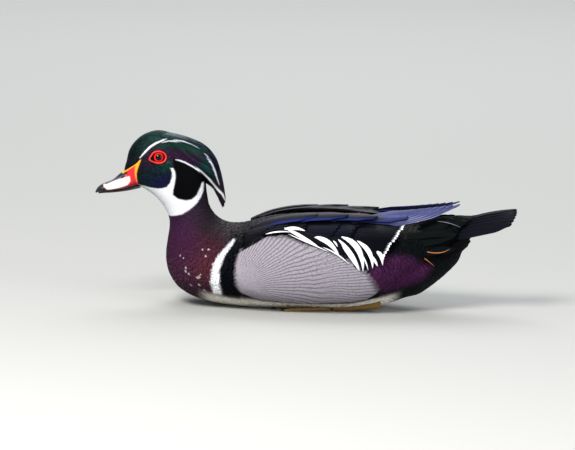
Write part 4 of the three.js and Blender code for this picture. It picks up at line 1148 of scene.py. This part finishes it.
def primaries(side, rng):
    """The long wing tip that stands free over the rump."""
    given = [between(*ends, PRIMARY_COUNT) * (1, side, 1) for ends in PRIMARY_LINES]
    face = np.tile(unit(np.array([0, 0.55 * side, 0.84])), (PRIMARY_COUNT, 1))
    made = feathers(given, np.full(PRIMARY_COUNT, PRIMARY_WIDTH), 26, 11, face=face, roll=0.12 * side,
                    rounded=1.9)
    return coloured(made, lambda a, b: vane_tint(a=a, b=b, side=side, **PRIMARY), rng)


# The white and black plumes along the flank's upper edge, as width and three points in the side view

WHITE_BARS = [
    (1.6, (-42, 73.6), (-30, 75.6), (-18, 76.2)),
    (4.2, (-26, 77.6), (-15, 79), (-4, 77.6)),
    (3.6, (-24, 79.5), (-9, 73.6), (8.6, 66.4)),
    (1.1, (-20, 75), (0, 68.4), (20, 62)),
    (4.8, (4, 73), (18, 69.6), (30, 58.6)),
    (1.2, (14, 65.6), (28, 59.8), (40, 52)),
    (1.6, (23.4, 71), (26, 68.6), (28, 66)),
    (5.2, (28.6, 71.8), (41, 59.6), (50, 46.4)),
    (5.8, (31.6, 74), (47.4, 64.8), (53.4, 45.8)),
    (1.3, (51, 61.6), (55.6, 54), (58.2, 47)),
    (4.6, (47, 70.8), (58.6, 61.8), (62.4, 48.8)),
    (2.6, (60.6, 59.8), (64.4, 55), (67.4, 50.4)),
    (4.4, (63.6, 64.2), (69.6, 60), (72, 51.4)),
]
BLACK_BARS = [
    (6, (-46, 73.4), (-26, 78), (-6, 74)),
    (7, (-28, 79.5), (-6, 75), (12, 66)),
    (7, (-10, 77), (10, 71), (26, 61.5)),
    (7, (6, 75), (24, 68), (38, 54)),
    (8, (18, 73), (34, 66), (46, 49)),
    (8, (28, 75), (44, 66), (52, 47)),
    (8, (38, 74), (52, 64), (58, 48)),
    (8, (46, 72.5), (58, 64), (64, 49)),
    (8, (56, 69), (64, 62), (69.5, 51)),
    (7, (61, 66.5), (68, 61.5), (73, 52.5)),
]
# Colour, gloss, outline and the lift of roots, middles and tips
BAR_KINDS = [
    (BLACK_BARS, rgb("0c0c12"), 0.3, "pointed", (5.6, 6.7, 6.3)),
    (WHITE_BARS, WHITE, 0, "spindle", (6.6, 7.7, 7.2)),
]


def flank_bars(word):
    side = SIDES[word]
    rng = np.random.default_rng(SEED + 40 + side)
    groups = []
    for bars, colour, gloss, kind, lifts in BAR_KINDS:
        width, *ends = zip(*bars)
        given = []
        for end, lift in zip(ends, lifts):
            place, girth = spot(*zip(*end), side)
            given.append(np.stack([place, girth, np.full(len(bars), lift)], -1))
        made = feathers(given, np.array(width), 16, 7, surface=body, kind=kind, camber=0.2, roll=0.05 * side,
                        shaft=0.12, rounded=0.2)
        groups.append(coloured(made, lambda a, b: vane_tint(colour, a, b, side, gloss=gloss), rng))
    vane_piece("flank_plumes_" + word, vane_plain, "flank_feathers", [], groups)


# Tail, its coverts and the plumes beside the rump

TAIL = {"count": 14, "width": 12.5, "shorter": 7, "notch": 3, "layer": 0.3}
TAIL_LINE = [(134, 82.5), (170, 96.8), (209, 103.6)]  # x and z of roots, middles and tips
TAIL_SPREAD = (9, 20, 24)
TAIL_FALL = (9, 12.4, 9)
TAIL_TINT = {"base": rgb("0d0e15"), "rim": rgb("14161f"), "rim_from": 0.2, "rim_wide": 0.06, "gloss": 0.3}
UNDER_BLACK = rgb("0a090c")
# Root, middle and tip as x, half spread and z, then arch, how much the middle is longer, count, width, colour
COVERT_FANS = [
    (((104, 22, 79), (122, 20, 86), (142, 18, 91)), 4, 6, 7, 11, RUMP_BLACK),
    (((112, 17, 81), (134, 16, 87), (158, 15, 91.6)), 4, 8, 7, 10.5, RUMP_BLACK),
    (((112, 28, 42), (130, 26, 51), (148, 23, 64)), -13, -3, 11, 13, UNDER_BLACK),
    (((122, 25, 50), (141, 22, 61), (162, 18, 77)), -11, -3, 9, 13, UNDER_BLACK),
]


def tail():
    rng = np.random.default_rng(SEED + 50)
    count = TAIL["count"]
    u = np.linspace(-1, 1, count)
    given = []
    for (x, z), spread, fall, share in zip(TAIL_LINE, TAIL_SPREAD, TAIL_FALL, (0, 0.5, 1)):
        back = x - (TAIL["shorter"] * u ** 2 + TAIL["notch"] * (1 - np.abs(u)) ** 3) * share ** 2
        level = z - fall * u ** 2 - TAIL["layer"] * np.abs(u) * count * 0.5 * share
        given.append(np.stack([back, u * spread, level], -1))
    face = unit(np.stack([u * 0, 2 * TAIL_FALL[1] * u / TAIL_SPREAD[1], u * 0 + 1], -1))
    made = feathers(given, np.full(count, TAIL["width"]), 24, 9, face=face, roll=0.1 * np.sign(u),
                    rounded=0.55, shaft=0.4)
    outer = np.sign(u)[:, None, None]
    groups = [coloured(made, lambda a, b: vane_tint(a=a, b=b, side=outer, **TAIL_TINT), rng)]
    for line, arch, longest, count, width, colour in COVERT_FANS:
        v = np.linspace(-1, 1, count)
        given = []
        for k, (x, y, z) in enumerate(line):
            point = np.stack([x + longest * (1 - v ** 2) * k / 2, v * y, z + arch * (1 - v ** 2)], -1)
            given.append(point + rng.uniform(-0.4, 0.4, point.shape) * k)
        face = unit(np.stack([v * 0, v * line[2][1], v * 0 + np.sign(arch) * (abs(arch) + 6)], -1))
        made = feathers(given, np.full(count, width), 14, 7, face=face, kind="round", rounded=0.6,
                        camber=0.12)
        groups.append(coloured(made, lambda a, b: vane_tint(colour, a, b, 1), rng))
    vane_piece("tail_feathers", vane_plain, "tail_feathers", ["tail"], groups)


RUST = rgb("a5663f")
# Width, colour, then root, middle and tip
RUMP_PLUMES = [
    (8, RUMP_BLACK, (92, 34, 76), (118, 32, 80), (146, 24, 80)),
    (8, RUMP_BLACK, (96, 38, 70), (120, 34.5, 73), (147, 26, 80)),
    (8, RUMP_BLACK, (102, 40, 62), (124, 36, 64), (148, 27, 66)),
]
THIN_PLUMES = [
    (0.9, RUST, (96, 40.5, 66), (114, 39.5, 58), (126, 36, 48.5)),
    (0.9, RUST, (110, 40, 66), (128, 36.2, 62.5), (141, 31.5, 66.5)),
    (0.8, rgb("7d7f8b"), (128, 22, 92.5), (140, 21, 90.6), (151, 19.5, 86.6)),
]
RUMP_MIDDLE = (110, 0, 52)


def rump_plumes(word):
    side = SIDES[word]
    rng = np.random.default_rng(SEED + 60 + side)
    groups = []
    for plumes, gloss, kind in ((RUMP_PLUMES, 0.45, "long"), (THIN_PLUMES, 0, "spindle")):
        width, colours, *ends = zip(*plumes)
        given = [np.array(end) * (1, side, 1) for end in ends]
        face = unit(unit(given[1] - RUMP_MIDDLE) * (0, 1, 1))
        made = feathers(given, np.array(width), 18, 7, face=face, kind=kind, roll=0.08 * side, thick=0.3,
                        shaft=0.1)
        tints = np.array([(*colour, gloss) for colour in colours])[:, None, None]
        groups.append(coloured(made, lambda a, b: np.broadcast_to(tints, (*a.shape, 4)), rng))
    vane_piece("rump_plumes_" + word, vane_plain, "rump_feathers", [], groups)


crest()
for word in SIDES:
    wing(word)
    flank_bars(word)
    rump_plumes(word)
tail()

# The bill, in the straight side view

BILL_PATCH = [
    (-209.4, 117.6), (-205.5, 118.6), (-198.6, 121.8), (-192.7, 124.4), (-186.7, 125.6), (-183, 127.2),
    (-182.2, 122.6), (-184.4, 118.4), (-190, 115.9), (-197, 114.2), (-204.4, 112.6),
]
CULMEN = [
    (-206, 118.4), (-198.6, 121.6), (-192.7, 124.4), (-188.6, 125.6), (-184.6, 130.8), (-186.6, 132.6),
    (-190, 140), (-206, 130),
]
NAIL = [
    (-209.8, 121), (-207.6, 115.8), (-204.2, 112.4), (-204, 108), (-220, 108), (-220, 121),
]
YELLOW_EDGE = [
    (-189, 130.2, 1.4), (-184.6, 135, 2.8), (-179.5, 140.3, 4.2), (-174.8, 145.4, 5.6), (-175.6, 141, 4),
    (-177, 136, 2.8), (-177.2, 131, 2.2), (-176.4, 126, 1.6), (-175.2, 122, 0.6),
]
SHIELD_LIFT = 1.15
SHIELD_SUNK = -2.5
SHIELD_UNDER = 0.6  # how far under the skin the shield's edge starts
SHIELD_EDGE = 1.6  # over which it rises
NOSTRIL = {"x": -189.6, "z": 126, "long": 4.8, "high": 1.7, "deep": 1.1, "slope": 38}
BILL_VOXEL = 0.00036
BILL_SMOOTHING = 5


def nostril_depth(points):
    """0 outside the nostrils to 1 at their middle."""
    angle = np.radians(NOSTRIL["slope"])
    x, z = points[:, 0] - NOSTRIL["x"], points[:, 2] - NOSTRIL["z"]
    along, up = x * np.cos(angle) + z * np.sin(angle), z * np.cos(angle) - x * np.sin(angle)
    apart = np.hypot(along / NOSTRIL["long"] * 2, up / NOSTRIL["high"] * 2)
    return ramp(1.25 - apart, 0, 1) * (np.abs(points[:, 1]) > 2.5)


def bill_tint(points):
    """Red sides, white patch, black culmen with a painted blue-grey sheen, black nail and the yellow edge."""
    x, y, z = points.T
    black = rgb("0c0c10")
    culmen = np.maximum(area(x, z, CULMEN, 1), ramp(np.abs(y), 2.6, 1.8) * ramp(z, 112, 114))
    tint = np.tile(np.append(rgb("cf1a2c"), 1), (len(points), 1))
    for mask, shade in [
            (ramp(z, 121, 116), rgb("d23a55")),
            (area(x, z, BILL_PATCH, 1.6), rgb("f4efe2")),
            (culmen, black),
            # painted sheen: a blue-grey reflection laid over the lower part of the black culmen
            (culmen * ramp(z - (124 + 0.45 * (x + 193)), 3, 1) * 0.85, rgb("454b60")),
            (area(x, z, NAIL, 1.4), black),
            (stroke(x, z, YELLOW_EDGE, 0.9), rgb("f5a30c")),
            (np.clip(nostril_depth(points) * 1.6, 0, 1), rgb("1d0708"))]:
        tint = paint(tint, mask, shade)
    return tint


def fused(parts):
    """Points, normals, corners and counts of a closed mesh fused from several by small cubes and smoothed."""
    joined = bmesh.new()
    for part in parts:
        joined.from_mesh(part.data)
        bpy.data.objects.remove(part)
    mesh = bpy.data.meshes.new("fused")
    joined.to_mesh(mesh)
    joined.free()
    obj = linked("fused", mesh)
    cubes = obj.modifiers.new("cubes", "REMESH")
    cubes.mode = "VOXEL"
    cubes.voxel_size = BILL_VOXEL
    obj.modifiers.new("soft", "SMOOTH").iterations = BILL_SMOOTHING
    made = obj.evaluated_get(bpy.context.evaluated_depsgraph_get()).to_mesh()
    points = taken(made.vertices, "co", 3, float).reshape(-1, 3) / MM - (CENTRE_X, 0, 0)
    normals = taken(made.vertices, "normal", 3, np.float32).reshape(-1, 3)
    flat, sizes = taken(made.loops, "vertex_index"), taken(made.polygons, "loop_total")
    bpy.data.objects.remove(obj)
    return points, normals, flat, sizes


def upper_bill():
    ridge = loft_mesh("blade", Surface(UPPER_BILL[::-1], 121, 97), 110, 90, caps=0.4)
    deep = depth_in(body.x, body.z, SHIELD)
    rounded = np.sqrt(1 - (1 - np.clip(deep / SHIELD_EDGE, 0, 1)) ** 2)
    rise = rounded * (SHIELD_LIFT + SHIELD_UNDER) - SHIELD_UNDER
    rise = np.where(deep > 0, rise, np.clip(deep * 1.2 - SHIELD_UNDER, SHIELD_SUNK, 0))
    shield = loft_mesh("shield", body.raised(rise), 160, 240, high=4.2, caps=0.2)
    points, normals, flat, sizes = fused([ridge, shield])
    straight = turned(points, -1)
    points = points - normals * (nostril_depth(straight) * NOSTRIL["deep"])[:, None]
    obj = make_mesh("bill_upper_form", points, flat, sizes, tint=bill_tint(straight))
    finish_piece(obj, horn, "bill", "bill_upper")


def lower_bill():
    blade = Surface(LOWER_BILL[::-1], 121, 97)
    blade.tint = np.tile(np.append(rgb("0d0c0e"), 1), (*blade.place.shape, 1))
    finish_piece(loft_mesh("bill_lower_form", blade, 90, 80, caps=0.4), horn, "bill_dark", "bill_lower")


# Eyes and lids

PUPIL_ANGLE = 31
IRIS_ANGLE = 50
IRIS_EDGE = 0.7
CORNEA_RISE = 0.03
EYE_COLUMNS = 96
EYE_RINGS = [*np.linspace(1.2, 60, 56), *np.linspace(64, 176, 16)]  # degrees from where the eye looks
STREAKS = 0.12
LID = {"long": 7.3, "high": 5.8, "tube": 1, "proud": 0.5, "corner": 0.28, "angle": 0.35, "sharp": 12}
LID_COUNT = 132
LID_SIDES = 18


def eye(word):
    """An eyeball with pupil and red iris about the direction in which it looks."""
    place, girth = spot([EYE["x"]], [EYE["z"]], SIDES[word])
    out = body.at("normals", place, girth)[0]
    centre = body.at("points", place, girth)[0] - out * EYE["sunk"]
    level = unit(np.cross(out, (0, 0, 1)))
    up = np.cross(level, out)
    degrees = np.array(EYE_RINGS)[:, None]
    angle, turn = np.radians(degrees), 2 * np.pi * np.arange(EYE_COLUMNS)[None] / EYE_COLUMNS
    around = np.cos(turn)[..., None] * level - np.sin(turn)[..., None] * up
    direction = np.cos(angle)[..., None] * out + np.sin(angle)[..., None] * around
    points = centre + direction * (EYE["radius"] * (1 + CORNEA_RISE * ramp(degrees, 56, 10)))[..., None]
    red = rgb("d41a16") * (1 + STREAKS * np.sin(turn * 23 + 1.7 * np.sin(turn * 5))[..., None])
    iris = ramp(degrees, PUPIL_ANGLE - IRIS_EDGE, PUPIL_ANGLE + IRIS_EDGE)
    iris = iris * ramp(degrees, IRIS_ANGLE + 1, IRIS_ANGLE - 2)
    iris = np.broadcast_to(iris, points.shape[:2])
    tint = paint(np.broadcast_to(np.append(BLACK * 0.6, 1), (*points.shape[:2], 4)), iris, red)
    tint = paint(tint, iris * ramp(degrees, PUPIL_ANGLE + 6, PUPIL_ANGLE) * 0.5, rgb("5e0c0c"))
    obj = make_mesh("eyeball_" + word, *tubes([points[None]]), tint=tint)
    finish_piece(obj, eyeball, "eye", "eye_" + word)


def lid(word):
    """The fleshy ring round the eye, drawn out to a corner at the front."""
    side = SIDES[word]
    angle = 2 * np.pi * np.arange(LID_COUNT) / LID_COUNT
    corner = 1 + LID["corner"] * np.maximum(0, -np.cos(angle - LID["angle"])) ** LID["sharp"]
    ring = spot(EYE["x"] + LID["long"] * corner * np.cos(angle),
                EYE["z"] + LID["high"] * corner * np.sin(angle), side)
    point, normal = body.at("points", *ring), body.at("normals", *ring)
    outward = point - body.at("points", *spot([EYE["x"]], [EYE["z"]], side))
    outward = unit(outward - normal * dot(outward, normal)[:, None])
    turn = 2 * np.pi * np.arange(LID_SIDES) / LID_SIDES
    tube = LID["tube"] * (1 + 0.05 * np.sin(angle * 19) + 0.04 * np.sin(angle * 31 + 1))[:, None]
    points = (point[:, None] + normal[:, None] * (LID["proud"] + tube * np.sin(turn))[..., None]
              + outward[:, None] * (tube * np.cos(turn))[..., None])
    if side > 0:
        points = points[:, ::-1]
    faces = quads(LID_COUNT, LID_SIDES, closed=True)[:, [0, 3, 2, 1]]
    obj = make_mesh("lid_ring_" + word, points, faces.ravel(), np.full(len(faces), 4))
    finish_piece(obj, lid_skin, "eye_ring", "lid_" + word)


# Legs and feet, tucked under the body, as x, y, z and radius, or x, y and radius for toes

LEG = [
    (74, 33, 9, 4.4), (60, 33, 6, 3.2), (42, 32.5, 3.4, 2.6), (26, 32, 2.9, 2.8),
]
TOES = [
    [(24, 32, 3), (6, 31.5, 2.2), (-14, 31, 1.9), (-31, 30.5, 1.3)],
    [(22, 33.5, 2.8), (6, 38, 2.1), (-10, 42, 1.8), (-22.5, 45, 1.2)],
    [(22, 30.5, 2.8), (6, 25.5, 2.1), (-9, 21.5, 1.8), (-18.5, 19, 1.2)],
    [(25, 32, 2.2), (31, 27, 1.5), (35, 24.8, 1)],
]
CLAW_LONG = 4.5
CLAW_SHARES = (-0.2, 0.25, 0.65, 1)
WEB_BETWEEN = ((1, 0), (0, 2))
WEB_ROWS = 24
WEB_COLUMNS = 14
WEB_HALF = 0.35  # half of the web's thickness
WEB = {"start": 0.06, "reach": 0.97, "drawn": 0.22, "high": 1.5, "sag": 0.6, "fold": 0.12, "folds": 40}


def rod(line, sides=16, steps=8, knobs=0):
    """A closed tube of rings about a line of points and radii."""
    line = np.array(line, float)
    places = np.linspace(0, len(line) - 1, (len(line) - 1) * steps + 1)
    smooth = np.stack([smooth_read(line[:, k], places) for k in range(4)], -1)
    centre, radius = smooth[:, :3], smooth[:, 3] * (1 + knobs * np.cos(places * 2 * np.pi * 2))
    along = unit(np.gradient(centre, axis=0))
    across = unit(np.cross((0, 0, 1), along))
    up = np.cross(along, across)
    turn = -2 * np.pi * (np.arange(sides) + 0.5) / sides
    around = across[:, None] * np.cos(turn)[:, None] + up[:, None] * np.sin(turn)[:, None]
    points = centre[:, None] + radius[:, None, None] * around
    points[..., 2] = np.maximum(points[..., 2], REST_GAP)
    return points


def web(first, second, side):
    """A sheet of skin between two toes, its free edge drawn in."""
    t, s = np.meshgrid(np.linspace(WEB["start"], 1, WEB_ROWS), np.linspace(0, 1, WEB_COLUMNS), indexing="ij")
    middle = np.sin(np.pi * s)
    lines = []
    for toe in (first, second):
        line = np.array(toe, float)
        reach = (len(line) - 1) * WEB["reach"] * t * (1 - WEB["drawn"] * middle * t)
        lines.append(np.stack([smooth_read(line[:, k], reach) for k in (0, 1)], -1))
    x, y = np.moveaxis(lines[0] * (1 - s[..., None]) + lines[1] * s[..., None], -1, 0)
    height = WEB["high"] - WEB["sag"] * middle + WEB["fold"] * np.sin(t * WEB["folds"])
    top, under = (np.stack([x, y * side, height + lift], -1) for lift in (WEB_HALF, -WEB_HALF))
    ring = np.concatenate([top, under[:, ::-1]], 1)
    faces_up = np.cross(ring[1, 0] - ring[0, 0], ring[0, 1] - ring[0, 0])[2] > 0
    return ring if faces_up else ring[:, ::-1]


def leg_and_foot(word):
    side = SIDES[word]
    toes, claws = [], []
    for toe in TOES:
        line = [(x, y * side, r * 0.92, r) for x, y, r in toe]
        toes.append(rod(line, steps=16, knobs=0.05))
        (ax, ay, *_), (bx, by, bz, br) = line[-2:]
        ux, uy = unit(np.array([bx - ax, by - ay])) * CLAW_LONG
        claws.append(rod([(bx + ux * k, by + uy * k, bz + 0.25 - 0.7 * k * k, br * (0.85 - 0.75 * k))
                          for k in CLAW_SHARES], sides=12, steps=4))
    leg = rod([(x, y * side, z, r) for x, y, z, r in LEG], sides=24, steps=12)
    webs = [web(TOES[k], TOES[j], side) for k, j in WEB_BETWEEN]
    for name, parts, material, nodes in (
            ("leg_skin_", [leg], leg_skin, ["leg_" + word]), ("toe_skin_", toes, leg_skin, ["foot_" + word]),
            ("webs_", webs, web_skin, []), ("claws_", claws, claw_horn, [])):
        obj = make_mesh(name + word, *tubes([part[None] for part in parts]))
        finish_piece(obj, material, "foot_skin", *nodes)


upper_bill()
lower_bill()
for word in SIDES:
    eye(word)
    lid(word)
    leg_and_foot(word)

# Stage, light and camera

CAMERA_ELEVATION = 8
CAMERA_ROLL = 1.8
CAMERA_TARGET = Vector((-0.01975, 0, 0.0808))
CAMERA_DISTANCE = 9
CAMERA_LENS = 563
FLOOR_COLOUR = rgb("a9a9a6")
FLOOR_REACH = 60
LIGHT_TARGET = Vector((0, 0, 0.09))
# Place, size, watts and colour
LIGHTS = {
    "key": ((-0.7, -1.5, 1.5), 0.9, 62, (1, 0.97, 0.93)),
    "fill": ((1.3, -1.3, 0.7), 1.2, 13, (0.92, 0.96, 1)),
    "top": ((0.1, 2.4, 2.6), 2.6, 95, (1, 1, 1)),
}
SKY = {"Color": (0.86, 0.92, 1, 1), "Strength": 0.6}


def stage():
    """A pale floor, wide enough to fill the picture from every side."""
    mesh = bpy.data.meshes.new("floor")
    corners = [(x * FLOOR_REACH, y * FLOOR_REACH, 0) for x, y in ((-1, -1), (1, -1), (1, 1), (-1, 1))]
    mesh.from_pydata(corners, [], [(0, 1, 2, 3)])
    made = Nodes("floor_paint")
    made.set(Base_Color=tuple(np.append(FLOOR_COLOUR, 1)), Roughness=0.85, Specular_IOR_Level=0.15)
    mesh.materials.append(made.material)
    floor = linked("floor", mesh)


def lights():
    for name, (place, size, watts, colour) in LIGHTS.items():
        light = bpy.data.lights.new(name, "AREA")
        light.shape = "DISK"
        light.size = size
        light.energy = watts
        light.color = colour
        obj = linked(name, light)
        obj.location = place
        obj.rotation_euler = (LIGHT_TARGET - obj.location).to_track_quat("-Z", "Y").to_euler()


def camera():
    e, roll = math.radians(CAMERA_ELEVATION), math.radians(CAMERA_ROLL)
    forward = Vector((0, math.cos(e), -math.sin(e)))
    level, upright = Vector((1, 0, 0)), Vector((0, math.sin(e), math.cos(e)))
    right = level * math.cos(roll) + upright * math.sin(roll)
    up = upright * math.cos(roll) - level * math.sin(roll)
    data = bpy.data.cameras.new("camera")
    data.lens = CAMERA_LENS
    data.sensor_width = 36
    data.sensor_fit = "HORIZONTAL"
    obj = linked("camera", data)
    turn = Matrix([[right[k], up[k], -forward[k]] for k in range(3)]).to_4x4()
    obj.matrix_world = Matrix.Translation(CAMERA_TARGET - forward * CAMERA_DISTANCE) @ turn
    bpy.context.scene.camera = obj


def surroundings():
    world = bpy.data.worlds.new("studio")
    bpy.context.scene.world = world
    world.use_nodes = True
    for key, value in SKY.items():
        world.node_tree.nodes["Background"].inputs[key].default_value = value


stage()
bpy.context.scene.view_settings.view_transform = "Standard"
lights()
camera()
surroundings()
